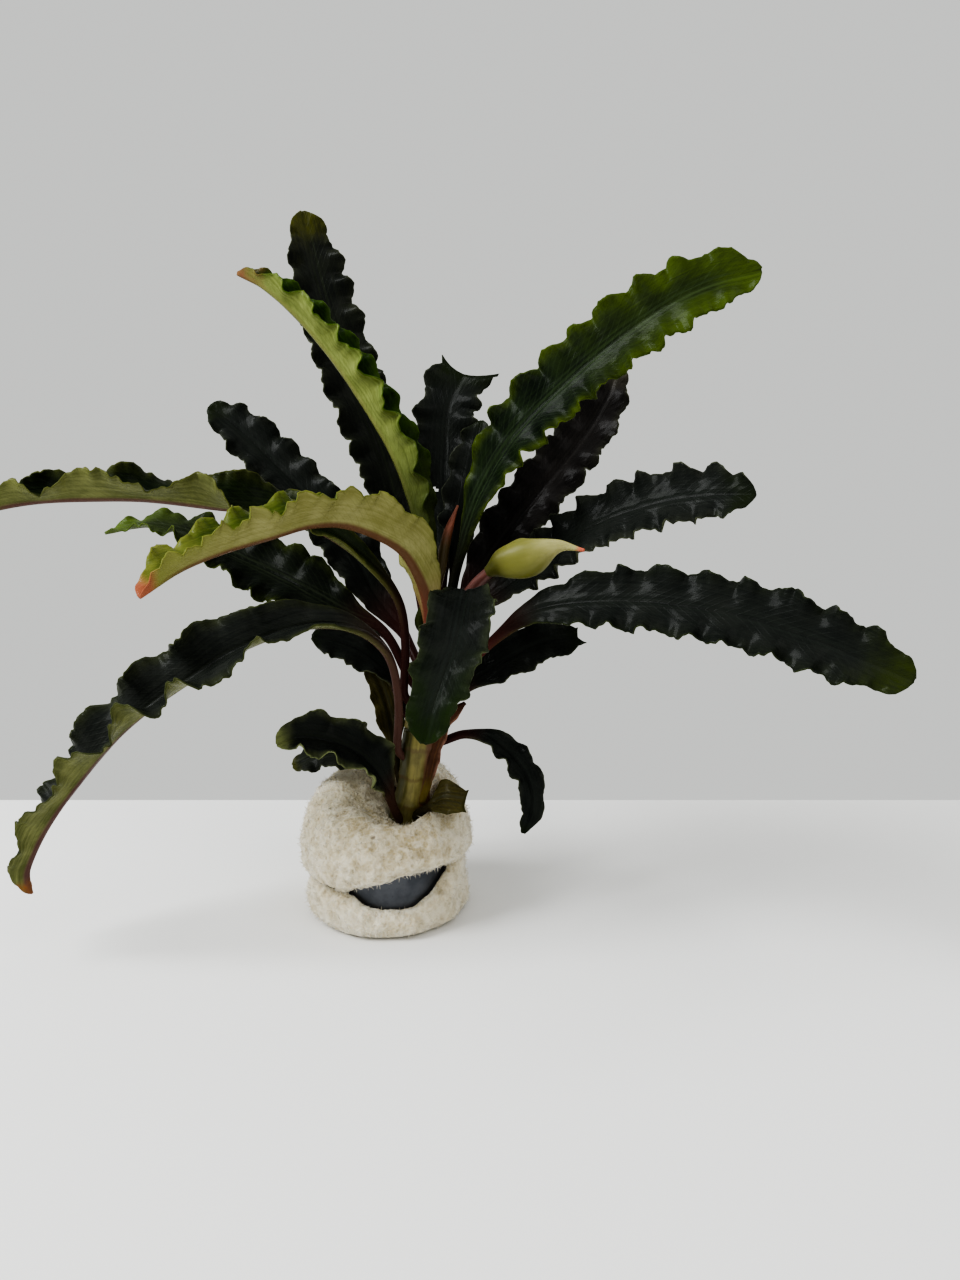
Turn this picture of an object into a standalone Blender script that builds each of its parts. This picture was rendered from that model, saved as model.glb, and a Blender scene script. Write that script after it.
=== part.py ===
"""Bucephalandra, a small aquarium plant, held by a foam plug with a lead strip round it.

The frame: the origin is the middle of the plug's flat base, +Z is up and -Y is the front,
where the lead strip shows. Every size below is in millimetres, and MM turns it into metres.
"""

import math
from dataclasses import dataclass

import bmesh
import bpy
from mathutils import Matrix, Vector

MM = 0.001
UP = Vector((0.0, 0.0, 1.0))

# Leaves
LEAF_STEP = 1.4          # distance between two sections of a leaf
RIB_TOP = 0.25           # the midrib's rise over the blade's upper side
RIB_UNDER = 0.55         # the midrib's depth under the blade
PETIOLE_HALF = 0.8       # half the width of a leaf stalk
PETIOLE_DEPTH = 0.7      # half its depth
TAPER_START = 0.5        # share of the length where a leaf starts to narrow to its tip
TIP_HALF = 0.35          # half the width of the last section
SCALLOP = 0.07           # how much the margin's outline swings in and out, share of the width
BLADE_RISE = 0.25        # share of the length over which the waves grow past the stalk
BITE_START = 0.88        # share of the length where the margins of a bitten tip run on
CURL_PARTS = 6           # short straight parts that stand for the curl of one half

# Stem
STEM_SIDES = 14
STEM_STEP = 3.0          # distance between two sections of the stem
STEM_PATH = (
    (3.9, -0.9, 8), (4, -1, 17), (5, -1, 24), (6, -1, 31), (7.5, 0, 40), (8.7, 0, 49), (9, 0, 54),
)
STEM_RADII = (3.4, 3.6, 3.3, 3.3, 2.6, 2.1, 1.4)

# Flower bud and new shoot
STALK_SIDES = 8
STALK_STEP = 1.8
STALK_PATH = ((12.2, -2.9, 50.5), (13.4, -3.6, 55), (15.5, -4.6, 58.4), (17.2, -5.6, 60.6))
STALK_RADII = (0.8, 0.8, 0.9, 0.8)
BUD_SIDES = 12
BUD_STEP = 1.2
BUD_PATH = ((17.5, -6.1, 61), (20, -7.2, 62.7), (24, -8.6, 64.2), (28.5, -10, 65.4), (32.4, -11, 65.2))
BUD_RADII = (0.8, 2.6, 3.4, 1.9, 0.3)
BUD_DEPTH = 0.8          # the bud's depth over its height
SHOOT_PATH = ((8.9, 2.3, 56), (9.8, 2.8, 60.5), (11, 3.6, 66), (12.6, 4.6, 70.3))
SHOOT_RADII = (0.8, 1.0, 0.8, 0.25)

# Foam plug
PLUG_SIDES = 48
PLUG_BASE = 11.8         # radius of the flat underside
PLUG_LOWER = 13.9        # radius of the lower bulge
PLUG_UPPER = 14.6        # radius of the upper bulge
LIP_RADIUS = 12.6        # where the bulges turn in over the lead
GROOVE_OUTER = 11.8
GROOVE_INNER = 10.3
GROOVE_LOW = 4.0
GROOVE_HIGH = 12.0
HOLE_RADIUS = 4.05       # round the foot of the stem
HOLE_FLOOR = 7.6
HOLE_CENTRE = (4.0, -1.0)
SLIT_HALF = 0.2          # half the slit between the bulges where they hide the lead
EYE_HALF = 2.9           # half the height of the opening that shows the lead
EYE_MIDDLE = 15.0        # its direction, degrees from -Y towards +X
EYE_SPREAD = 43.0        # from its middle to either corner, degrees
SLIT_MIDDLE = 7.2        # height of the slit at the back; it is higher in front and on the right
CREST = 22.3             # height of the plug's rim at its sides; it is lower in front
DIP_DIRECTION = 55.0     # where the rim sags under a leaf, degrees from -Y towards +X
DIP_DEPTH = 1.2

# Lead strip
STRIP_LOW = 4.35
STRIP_HIGH = 11.65
STRIP_INNER = 10.65
STRIP_OUTER = 11.4


@dataclass
class Leaf:
    """One leaf, from the foot of its stalk to its tip."""

    name: str
    path: tuple              # points on the midrib, x, y, z
    width: float             # at the widest place
    fold: float = 20.0       # how far each half stands up from flat, degrees
    roll: tuple = (0, 0)     # turn about the midrib, degrees, from the foot to the tip
    wave: tuple = (7, 35)    # length of the margin's waves, and how far they curl it, degrees
    stalk: float = 0.2       # share of the length before the blade
    blunt: float = 3.0       # 1.5 is a drawn-out tip, 5 a rounded one
    phase: float = 0.0       # where the waves start, turns
    cut: float = 0.0         # share of the width that a bitten tip still has
    horns: tuple = (0, 0)    # how far the left and right margins run on past a bitten tip
    colour: str = "dark"


LEAVES = (
    Leaf("leaf_tall_back",
         ((7.2, 3.2, 48), (5.8, 6, 55.8), (2.4, 10, 67), (-1.4, 14, 79), (-6, 17.5, 90),
          (-10.2, 21, 102), (-13, 24, 112), (-14.6, 26, 119)),
         width=11, fold=14, roll=(-10, -30), wave=(6, 28), stalk=0.14, blunt=4.5),
    Leaf("leaf_folded_upright",
         ((6.3, -0.9, 52.5), (8, -0.4, 57), (8.2, 1, 61.7), (6.4, 2, 66.6), (3.2, 3, 76.3),
          (0, 4, 82.7), (-6.4, 5, 92.5), (-12.7, 6, 100), (-18.4, 7, 105), (-22.8, 8, 107.3)),
         width=10.5, fold=62, wave=(5.6, 26), stalk=0.1, blunt=2.4, colour="olive"),
    Leaf("leaf_back_left",
         ((5.4, 3.4, 44), (3, 7.8, 47.5), (-2, 12, 53), (-7, 14.2, 61.6), (-14.8, 17, 70.6),
          (-22.3, 21, 77.6), (-28.6, 24, 82.8), (-33, 26, 85.6)),
         width=10, fold=18, roll=(-30, -50), wave=(5.6, 28), stalk=0.08, blunt=4, phase=0.3),
    Leaf("leaf_far_left",
         ((3.5, -1.2, 40), (3.9, -1.8, 48.8), (2.8, -2, 55.6), (-1.5, -3, 61.6), (-7.7, -4, 66.6),
          (-15.4, -5, 70), (-25.3, -6, 71.4), (-35, -8, 72.8), (-42.5, -9, 73), (-51, -10, 72.7),
          (-57, -11, 71.8), (-63.5, -12, 70)),
         width=12, fold=46, roll=(-20, -42, -30, -4, 0, 0), wave=(14, 60), stalk=0.24, blunt=2.4,
         phase=0.1),
    Leaf("leaf_front_left",
         ((6.6, -3.9, 42), (8, -5.6, 49.6), (8.2, -7.5, 55), (6.9, -10, 60.5), (4.1, -13, 65.7),
          (-2.7, -19, 70.2), (-7.6, -25, 71.2), (-12.3, -30, 70.3), (-17.9, -36, 69.1),
          (-21.9, -41, 67.7), (-25.7, -46, 65.3)),
         width=12.5, fold=44, roll=(34, 16, 6, 10), wave=(7, 17), stalk=0.14, blunt=3.2, colour="olive"),
    Leaf("leaf_broad_left",
         ((3.9, 1.8, 42), (0, 4.6, 48.3), (-6.3, 6.4, 51.3), (-13.5, 9, 54.8), (-20.7, 12.2, 57.7),
          (-28, 14, 60.6), (-35, 15, 64), (-42.3, 16, 65.3), (-50.4, 16, 64)),
         width=12.5, fold=18, roll=(-35, -60), wave=(7, 30), stalk=0.14, blunt=1.5, phase=0.6),
    Leaf("leaf_long_drooping",
         ((2.4, -3.4, 31), (2.8, -4.6, 39), (1.7, -6.2, 46.5), (-1.3, -8, 50.8), (-5.9, -9, 52.9),
          (-11.9, -11, 53.2), (-18.1, -12, 51.3), (-23.4, -13, 49), (-29, -14, 45.4),
          (-33.5, -15, 42.4), (-39, -16, 38), (-43, -17, 33.8), (-46.5, -17, 29.6),
          (-49.5, -18, 25.7), (-52.3, -18, 21.5), (-54.5, -18, 17.4), (-55.6, -18, 14.3),
          (-55.4, -18, 11.1)),
         width=13.4, fold=44, roll=(0, -12, -34, -44, -14, 10, 26), wave=(11, 46), stalk=0.2, blunt=2.2,
         phase=0.2),
    Leaf("leaf_short_left",
         ((3.0, 1.2, 36.5), (0.8, 0.8, 42), (-3.4, 0.4, 46), (-8, 0, 48.2), (-11.8, -0.4, 49)),
         width=8.5, fold=15, roll=(-30, -50), wave=(5.6, 26), stalk=0.22, blunt=3, phase=0.4),
    Leaf("leaf_bitten_back",
         ((9.4, 3.0, 51.5), (10.1, 6.4, 60), (10.1, 13.4, 68.7), (10, 19, 77.1), (10.7, 22, 85.6),
          (13.4, 24.4, 91.3)),
         width=13, fold=10, wave=(5.2, 22), stalk=0.21, cut=0.85, horns=(2, 2.2), phase=0.5),
    Leaf("leaf_small_back",
         ((11.0, 1.9, 53.5), (12, 3.4, 58.8), (13.2, 5.4, 67.6), (14.8, 8.6, 75.5),
          (16.6, 11.6, 83.8)),
         width=8, fold=14, wave=(5.2, 24), stalk=0.2, blunt=4),
    Leaf("leaf_tall_right",
         ((12.0, -1.2, 52.5), (11.8, -1.9, 57), (13.4, -2.2, 63.9), (16.6, -2.4, 73.4),
          (21.5, -3, 81.8), (28.9, -4, 89.6), (36.3, -6, 96.1), (43.8, -8, 101.5), (50.3, -9, 104.7),
          (57.4, -10, 106.4)),
         width=11.6, fold=16, roll=(45, 80), wave=(5.6, 28), stalk=0.16, blunt=4.5, colour="green"),
    Leaf("leaf_back_right",
         ((10.2, 3.1, 46.5), (13.5, 4.6, 53.6), (18, 7.4, 60.8), (23.1, 9.8, 67.4), (28.4, 12, 73.8),
          (34.6, 16, 81.2), (38.8, 19, 87.9), (40.6, 21, 93)),
         width=10.5, fold=16, roll=(30, 50), wave=(5.4, 30), stalk=0.1, blunt=3, phase=0.7),
    Leaf("leaf_middle_right",
         ((11.6, 0.6, 44.5), (14.4, 1.4, 51.8), (19.6, 1.4, 56.2), (26.1, 0, 61.3),
          (33.7, -4.4, 67.7), (42.5, -9, 72), (49.4, -13, 73.9), (56.8, -17, 74.6)),
         width=10.6, fold=14, roll=(40, 62), wave=(5.2, 25), stalk=0.1, blunt=5, phase=0.2),
    Leaf("leaf_long_right",
         ((10.7, -2.5, 40.5), (14.5, -4.4, 45.3), (19.2, -7, 50.6), (24.2, -9, 54.8),
          (30.2, -12, 57.1), (40.5, -16, 58.3), (48.7, -20, 58.1), (56.7, -24, 57.1),
          (64.3, -28, 55.1), (70.5, -31, 52.9), (76.2, -33, 50.7)),
         width=10.8, fold=14, roll=(45, 66), wave=(6.2, 31), stalk=0.18, blunt=6),
    Leaf("leaf_eaten_right",
         ((10.8, 1.3, 36.8), (15.8, 1.6, 40.8), (21.4, 2, 44.6), (27.4, 3, 47.2), (33, 4, 47.8)),
         width=8.5, fold=14, roll=(35, 55), wave=(7, 28), stalk=0.2, cut=0.35, horns=(0.3, 1.2)),
    Leaf("leaf_front",
         ((9.7, -3.4, 46), (12, -5.2, 52), (13.8, -8.4, 57.3), (14, -12, 58.8), (13.5, -16.6, 57),
          (12.6, -21, 53.2), (10.9, -25, 49), (9.4, -28, 44.9), (8.2, -29.4, 40.3)),
         width=11, fold=16, wave=(7, 26), stalk=0.24, blunt=2.4, phase=0.5),
    Leaf("leaf_low_left",
         ((1.9, -5.0, 19.8), (0.5, -6.3, 24.5), (-1.6, -8, 29), (-5, -10, 32.6), (-9.6, -11, 34.6),
          (-13.3, -12, 35.1), (-16, -13, 34.3)),
         width=9.6, fold=30, roll=(-56, -44), wave=(6.4, 32), stalk=0.08, blunt=3),
    Leaf("leaf_low_small",
         ((0.4, 2.2, 21.5), (-2.8, 2.8, 25.4), (-7.3, 3.2, 27), (-11.8, 4, 26.5), (-16.8, 5, 24)),
         width=7.4, fold=12, roll=(-25, -45), wave=(6, 34), stalk=0.22, blunt=2.4),
    Leaf("leaf_narrow_upright",
         ((2.0, 3.4, 24), (1.4, 3.8, 28.7), (0.3, 4.4, 34.8), (-1.2, 5.2, 39.4), (-3.3, 6, 43)),
         width=5, fold=12, roll=(-50, -50), wave=(5, 22), stalk=0.2, blunt=2.4),
    Leaf("leaf_curled_right",
         ((9.9, 1.4, 30), (13.7, 1.2, 31.3), (18, 0.6, 30.7), (21.8, 0, 27.8), (24.2, -0.6, 24.4),
          (25.2, -1, 21), (25, -1.4, 17.9), (23.7, -2, 14.4)),
         width=5.6, fold=20, roll=(20, 70), wave=(5, 45), stalk=0.18, blunt=2),
    Leaf("leaf_stub_front",
         ((7.2, -5.2, 20.2), (10.2, -6.4, 22.4), (13.8, -7.4, 22.4)),
         width=6.5, fold=12, roll=(30, 40), wave=(5, 24), stalk=0.15, cut=0.6, horns=(0.2, 0.9),
         colour="olive"),
    Leaf("dry_sheath",
         ((9.3, -1.5, 23), (9.8, -1.6, 26), (10.7, -1.6, 31), (12, -1.2, 34.8), (14, -0.6, 37.8)),
         width=5, fold=18, wave=(6, 8), stalk=0.0, blunt=1.6, colour="red"),
)

COLOURS = {
    "dark": ((0.022, 0.034, 0.024), 0.3),
    "green": ((0.07, 0.13, 0.02), 0.3),
    "olive": ((0.33, 0.36, 0.08), 0.35),
    "red": ((0.27, 0.1, 0.06), 0.4),
    "stem": ((0.3, 0.32, 0.07), 0.4),
    "bud": ((0.6, 0.66, 0.2), 0.4),
    "foam": ((0.72, 0.69, 0.6), 0.95),
    "lead": ((0.22, 0.24, 0.28), 0.45),
}


def clear_scene():
    """Start from nothing."""
    for item in list(bpy.data.objects):
        bpy.data.objects.remove(item, do_unlink=True)


def material(name):
    """The plain finish of one kind of piece."""
    found = bpy.data.materials.get(name)
    if found:
        return found
    colour, roughness = COLOURS[name]
    made = bpy.data.materials.new(name)
    made.use_nodes = True
    shader = made.node_tree.nodes["Principled BSDF"]
    shader.inputs["Base Color"].default_value = (*colour, 1.0)
    shader.inputs["Roughness"].default_value = roughness
    shader.inputs["Metallic"].default_value = 1.0 if name == "lead" else 0.0
    return made


def add_piece(name, shape, finish):
    """Turn a bmesh in metres into a named object with its finish, its faces pointing out."""
    bmesh.ops.triangulate(shape, faces=shape.faces)
    if shape.calc_volume(signed=True) < 0:
        bmesh.ops.reverse_faces(shape, faces=shape.faces)
    mesh = bpy.data.meshes.new(name)
    shape.to_mesh(mesh)
    shape.free()
    mesh.shade_smooth()
    mesh.set_sharp_from_angle(angle=math.radians(40))
    piece = bpy.data.objects.new(name, mesh)
    piece.data.materials.append(material(finish))
    bpy.context.scene.collection.objects.link(piece)
    return piece


def smoothstep(low, high, value):
    """0 below low, 1 above high and a soft rise between them."""
    share = min(max((value - low) / (high - low), 0.0), 1.0)
    return share * share * (3.0 - 2.0 * share)


def blend(values, share):
    """The value at a share of the way through a short list of evenly spread ones."""
    place = share * (len(values) - 1)
    index = min(int(place), len(values) - 2)
    rest = place - index
    return values[index] * (1.0 - rest) + values[index + 1] * rest


def dense_curve(points, per_span=12):
    """Many points on a smooth curve through the given ones, with each one's knot number."""
    spots = [Vector(p) for p in points]
    last = len(spots) - 1
    knots = [0.0]
    for first, second in zip(spots, spots[1:]):
        knots.append(knots[-1] + (second - first).length)
    slopes = []
    for i in range(last + 1):
        low, high = max(i - 1, 0), min(i + 1, last)
        slopes.append((spots[high] - spots[low]) / (knots[high] - knots[low]))
    dense = []
    for i in range(last):
        span = knots[i + 1] - knots[i]
        for k in range(per_span):
            t = k / per_span
            place = spots[i] * (2 * t**3 - 3 * t**2 + 1) + spots[i + 1] * (3 * t**2 - 2 * t**3)
            place += (slopes[i] * (t**3 - 2 * t**2 + t) + slopes[i + 1] * (t**3 - t**2)) * span
            dense.append((place, (i + t) / last))
    dense.append((spots[last], 1.0))
    return dense


def stations(points, step):
    """Evenly spaced places on the curve: point, direction, share of the length, knot share."""
    dense = dense_curve(points)
    reach = [0.0]
    for (first, _), (second, _) in zip(dense, dense[1:]):
        reach.append(reach[-1] + (second - first).length)
    total = reach[-1]
    count = max(round(total / step), 4)
    found = []
    index = 0
    for n in range(count + 1):
        want = total * n / count
        while index < len(reach) - 2 and reach[index + 1] < want:
            index += 1
        part = (want - reach[index]) / (reach[index + 1] - reach[index])
        place = dense[index][0].lerp(dense[index + 1][0], part)
        knot = dense[index][1] * (1 - part) + dense[index + 1][1] * part
        found.append((place, n / count, knot))
    result = []
    for n, (place, share, knot) in enumerate(found):
        before = found[max(n - 1, 0)][0]
        after = found[min(n + 1, count)][0]
        result.append((place, (after - before).normalized(), share, knot))
    return result, total


def bridge_rings(shape, rings):
    """Faces between rings of points, with a flat cap on each end."""
    corners = [[shape.verts.new(p * MM) for p in ring] for ring in rings]
    sides = len(corners[0])
    for first, second in zip(corners, corners[1:]):
        for i in range(sides):
            j = (i + 1) % sides
            shape.faces.new((first[i], first[j], second[j], second[i]))
    shape.faces.new(reversed(corners[0]))
    shape.faces.new(corners[-1])


def half_width(leaf, share):
    """From the midrib to the margin, along the blade, without the scallops."""
    widen = smoothstep(leaf.stalk * 0.7, leaf.stalk + 0.3, share)
    full = PETIOLE_HALF + (leaf.width / 2 - PETIOLE_HALF) * widen
    beyond = max(share - TAPER_START, 0.0) / (1.0 - TAPER_START)
    return max(full * math.sqrt(1.0 - beyond ** leaf.blunt), full * leaf.cut, TIP_HALF)


def half_curve(width, fold, curl, count):
    """The margin of one half of a blade, as distance from the midrib and rise. The half leaves
    the midrib at the fold's angle, and curls by a further angle by the time it gets there."""
    away, rise = 0.0, 0.0
    for i in range(count):
        angle = fold + curl * (i + 0.5) / count
        away += width / count * math.cos(angle)
        rise += width / count * math.sin(angle)
    return away, rise


def margin_wave(leaf, distance, side):
    """How far on one margin's wave is, and how far it curls there. Both vary unevenly."""
    length, swing = leaf.wave
    waves = distance / length + leaf.phase + 0.35 * side
    drift = 0.1 * math.sin(2.3 * waves + 5 * side) + 0.06 * math.sin(4.1 * waves + 9 * leaf.phase)
    strength = 0.8 + 0.2 * math.sin(1.7 * waves + 2 * side + 7 * leaf.phase)
    return 2.0 * math.pi * (waves + drift), swing * strength


def margin(leaf, share, total, side, across, normal, along):
    """Where one margin lies beside the midrib. side is 1 for the left and -1 for the right."""
    blade = smoothstep(leaf.stalk, leaf.stalk + BLADE_RISE, share)
    turn, swing = margin_wave(leaf, share * total, side)
    curl = math.radians(swing) * blade * math.sin(turn)
    width = half_width(leaf, share) * (1.0 + SCALLOP * blade * math.sin(turn + 0.8))
    fold = math.radians(leaf.fold) * smoothstep(0.0, leaf.stalk + 0.2, share)
    away, rise = half_curve(width, fold, curl, CURL_PARTS)
    horn = leaf.horns[0 if side > 0 else 1] * smoothstep(BITE_START, 1.0, share)
    return across * side * away + normal * rise + along * horn


def leaf_rings(leaf):
    """The sections of a leaf: left margin, top of the rib, right margin, foot of the rib."""
    places, total = stations(leaf.path, LEAF_STEP)
    start, end = Vector(leaf.path[0]), Vector(leaf.path[-1])
    outward = Vector((end.x - start.x, end.y - start.y, 0.0)).normalized()
    level = UP.cross(outward)
    rings = []
    for place, along, share, _ in places:
        across = (level - along * level.dot(along)).normalized()
        across = Matrix.Rotation(math.radians(blend(leaf.roll, share)), 3, along) @ across
        normal = along.cross(across)
        stalk = 1.0 - smoothstep(leaf.stalk, leaf.stalk + 0.2, share)
        taper = 1.0 - 0.6 * smoothstep(0.5, 1.0, share)
        top = RIB_TOP * taper + (PETIOLE_DEPTH - RIB_TOP) * stalk
        under = RIB_UNDER * taper + (PETIOLE_DEPTH - RIB_UNDER) * stalk
        left = place + margin(leaf, share, total, 1, across, normal, along)
        right = place + margin(leaf, share, total, -1, across, normal, along)
        rings.append((left, place + normal * top, right, place - normal * under))
    return rings


def make_leaf(leaf):
    """One leaf as a closed solid, thickest along its midrib."""
    shape = bmesh.new()
    bridge_rings(shape, leaf_rings(leaf))
    return add_piece(leaf.name, shape, leaf.colour)


def make_rod(name, path, radii, sides, step, finish, depth=1.0):
    """A round or oval rod along a curve, with its radius read from a few values."""
    places, _ = stations(path, step)
    rings = []
    for place, along, _, knot in places:
        across = UP.cross(along)
        if across.length < 0.2:
            across = Vector((1.0, 0.0, 0.0))
        across = (across - along * across.dot(along)).normalized()
        normal = along.cross(across)
        radius = blend(radii, knot)
        ring = []
        for i in range(sides):
            turn = 2 * math.pi * i / sides
            offset = across * depth * math.cos(turn) + normal * math.sin(turn)
            ring.append(place + offset * radius)
        rings.append(ring)
    shape = bmesh.new()
    bridge_rings(shape, rings)
    return add_piece(name, shape, finish)


def plug_heights(turn):
    """The slit's middle and half height, and the crest's height, at one direction from -Y."""
    front = math.cos(turn)
    right = math.sin(turn)
    middle = SLIT_MIDDLE + 1.2 * max(front, 0.0) + 0.9 * right
    off = (math.degrees(turn) - EYE_MIDDLE + 180.0) % 360.0 - 180.0
    open_share = max(1.0 - (off / EYE_SPREAD) ** 2, 0.0)
    half = SLIT_HALF + (EYE_HALF - SLIT_HALF) * open_share
    dip = DIP_DEPTH * max(math.cos(turn - math.radians(DIP_DIRECTION)), 0.0) ** 2
    crest = CREST - 3.0 * front + 0.6 * right - dip
    return middle, half, crest


def plug_profile(turn):
    """Points up the plug's outside and down into the hole: radius, height, share of the way to
    the hole's own centre."""
    middle, half, crest = plug_heights(turn)
    low, high = middle - half, middle + half
    return (
        (PLUG_BASE, 0.0, 0.0),
        (PLUG_BASE + 1.3, 0.6, 0.0),
        (PLUG_LOWER, 2.0, 0.0),
        (PLUG_LOWER - 0.2, max(low - 1.5, 3.0), 0.0),
        (LIP_RADIUS, low, 0.0),
        (GROOVE_OUTER, GROOVE_LOW + 0.4, 0.0),
        (GROOVE_OUTER - 0.2, GROOVE_LOW, 0.0),
        (GROOVE_INNER, GROOVE_LOW, 0.0),
        (GROOVE_INNER, GROOVE_HIGH, 0.0),
        (GROOVE_OUTER - 0.2, GROOVE_HIGH, 0.0),
        (GROOVE_OUTER, GROOVE_HIGH - 0.2, 0.0),
        (LIP_RADIUS, high, 0.0),
        (PLUG_UPPER - 0.5, high + 1.3, 0.0),
        (PLUG_UPPER, 0.55 * high + 7.0, 0.0),
        (PLUG_UPPER - 0.1, 0.5 * crest + 4.5, 0.0),
        (PLUG_UPPER - 1.4, crest - 2.6, 0.0),
        (PLUG_UPPER - 3.8, crest - 0.5, 0.0),
        (PLUG_UPPER - 6.2, crest, 0.3),
        (PLUG_UPPER - 8.2, crest - 1.4, 0.75),
        (HOLE_RADIUS + 1.3, 0.4 * crest + 9.2, 0.95),
        (HOLE_RADIUS, 15.6, 1.0),
        (HOLE_RADIUS, HOLE_FLOOR, 1.0),
    )


def make_plug():
    """The foam plug: two soft bulges that close over the lead strip, open in front like an eye."""
    shape = bmesh.new()
    columns = []
    for i in range(PLUG_SIDES):
        turn = 2 * math.pi * i / PLUG_SIDES
        column = []
        for radius, height, share in plug_profile(turn):
            x = HOLE_CENTRE[0] * share + radius * math.sin(turn)
            y = HOLE_CENTRE[1] * share - radius * math.cos(turn)
            column.append(shape.verts.new(Vector((x, y, height)) * MM))
        columns.append(column)
    floor = shape.verts.new(Vector((*HOLE_CENTRE, HOLE_FLOOR)) * MM)
    shape.faces.new([column[0] for column in reversed(columns)])
    for i in range(PLUG_SIDES):
        first = columns[i]
        second = columns[(i + 1) % PLUG_SIDES]
        shape.faces.new((floor, first[-1], second[-1]))
        for k in range(len(first) - 1):
            shape.faces.new((first[k], second[k], second[k + 1], first[k + 1]))
    return add_piece("foam_plug", shape, "foam")


def make_strip():
    """The lead strip, bent into a ring in the plug's groove."""
    section = (
        (STRIP_INNER, STRIP_LOW),
        (STRIP_OUTER, STRIP_LOW),
        (STRIP_OUTER, STRIP_HIGH),
        (STRIP_INNER, STRIP_HIGH),
    )
    shape = bmesh.new()
    rings = []
    for i in range(PLUG_SIDES):
        turn = 2 * math.pi * i / PLUG_SIDES
        rings.append([
            shape.verts.new(Vector((r * math.sin(turn), -r * math.cos(turn), h)) * MM) for r, h in section
        ])
    for i in range(PLUG_SIDES):
        first = rings[i]
        second = rings[(i + 1) % PLUG_SIDES]
        for k in range(4):
            j = (k + 1) % 4
            shape.faces.new((first[k], first[j], second[j], second[k]))
    return add_piece("lead_strip", shape, "lead")


def main():
    clear_scene()
    make_plug()
    make_strip()
    make_rod("stem", STEM_PATH, STEM_RADII, STEM_SIDES, STEM_STEP, "stem")
    make_rod("flower_stalk", STALK_PATH, STALK_RADII, STALK_SIDES, STALK_STEP, "red")
    make_rod("flower_bud", BUD_PATH, BUD_RADII, BUD_SIDES, BUD_STEP, "bud", depth=BUD_DEPTH)
    make_rod("new_shoot", SHOOT_PATH, SHOOT_RADII, STALK_SIDES, STALK_STEP, "red")
    for leaf in LEAVES:
        make_leaf(leaf)


main()
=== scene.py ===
"""The looks of the bucephalandra: wavy wet leaves, fleshy stem and bud, soft foam plug and lead strip.

Lengths are in millimetres and MM turns them into metres. The leaves follow the same midribs, widths
and waves as the solids, with a real blade thickness, rounded midrib and crimped margins.
"""

import math
from dataclasses import dataclass

import bmesh
import bpy
import numpy as np
from mathutils import Matrix, Vector


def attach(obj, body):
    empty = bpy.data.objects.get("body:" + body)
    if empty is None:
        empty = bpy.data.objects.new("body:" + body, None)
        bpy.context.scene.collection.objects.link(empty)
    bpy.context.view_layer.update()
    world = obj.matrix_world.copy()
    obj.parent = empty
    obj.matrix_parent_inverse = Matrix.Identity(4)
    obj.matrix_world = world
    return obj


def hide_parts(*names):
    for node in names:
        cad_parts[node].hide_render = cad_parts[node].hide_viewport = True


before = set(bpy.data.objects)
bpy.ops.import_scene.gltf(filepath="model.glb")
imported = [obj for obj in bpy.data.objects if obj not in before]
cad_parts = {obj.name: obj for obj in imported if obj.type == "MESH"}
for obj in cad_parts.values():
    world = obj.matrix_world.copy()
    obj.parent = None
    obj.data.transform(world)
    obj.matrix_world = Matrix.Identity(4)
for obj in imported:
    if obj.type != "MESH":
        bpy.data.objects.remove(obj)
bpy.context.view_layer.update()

MM = 0.001
UP = Vector((0.0, 0.0, 1.0))

# Camera and light, in metres and degrees
CAMERA_PLACE = (0.0163, -0.180, 0.0932)
CAMERA_DOWN = 14.0
CAMERA_LENS = 31.18      # on a 36 mm frame, along the long side
CAMERA_CONTRAST = "AgX - High Contrast"
FLOOR_END = 0.0482       # how far the table top reaches behind the plant

# Leaves
LEAF_STEP = 0.42         # distance between two sections of a leaf
HALF_PARTS = 12          # cells from the midrib to the margin
RIB_UNDER = 0.42         # the rounded midrib's depth under the blade
RIB_WIDTH = 0.75
GROOVE = 0.12            # depth of the groove along the upper side of the midrib
BLADE_THICK = 0.42       # beside the midrib
MARGIN_THICK = 0.2
PETIOLE_HALF = 0.8
PETIOLE_DEPTH = 0.7
TAPER_START = 0.5
TIP_HALF = 0.35
SCALLOP = 0.09
BLADE_RISE = 0.25
BITE_START = 0.88
RIPPLE = 28.0            # the fine crimp of the margins, degrees
RIPPLE_LENGTH = 2.6
TEETH = 0.026            # small teeth along the margins, share of the half width
TIP_FRILL = 0.7          # how much stronger teeth and crimp are at the tip
QUILT = 0.05             # soft swelling of the blade between its side veins
QUILT_LENGTH = 2.1

# Stem
STEM_PATH = (
    (3.9, -0.9, 8), (4, -1, 17), (5, -1, 24), (6, -1, 31), (7.5, 0, 40), (8.7, 0, 49), (9, 0, 54),
)
STEM_RADII = (3.4, 3.45, 2.75, 2.95, 2.6, 2.1, 1.3)

# Flower bud and new shoot
STALK_PATH = ((10.4, -1.4, 46), (12.2, -2.9, 50.5), (13.4, -3.6, 55), (15.5, -4.6, 58.4), (18.4, -6.2, 61.6))
STALK_RADII = (0.8, 0.9, 1.0, 1.05, 0.9)
BUD_PATH = ((17.5, -6.1, 61), (20, -7.2, 62.5), (24, -8.6, 63.8), (28.5, -10, 65.8), (32.4, -11, 65.3))
BUD_RADII = (0.9, 2.45, 3.05, 1.05, 0.25)
BUD_DEPTH = 0.8
SHOOT_PATH = ((8.6, 1.2, 50), (8.9, 2.3, 56), (9.8, 2.8, 60.5), (11, 3.6, 66), (12.6, 4.6, 70.3))
SHOOT_RADII = (0.9, 0.85, 0.95, 0.75, 0.2)

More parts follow.
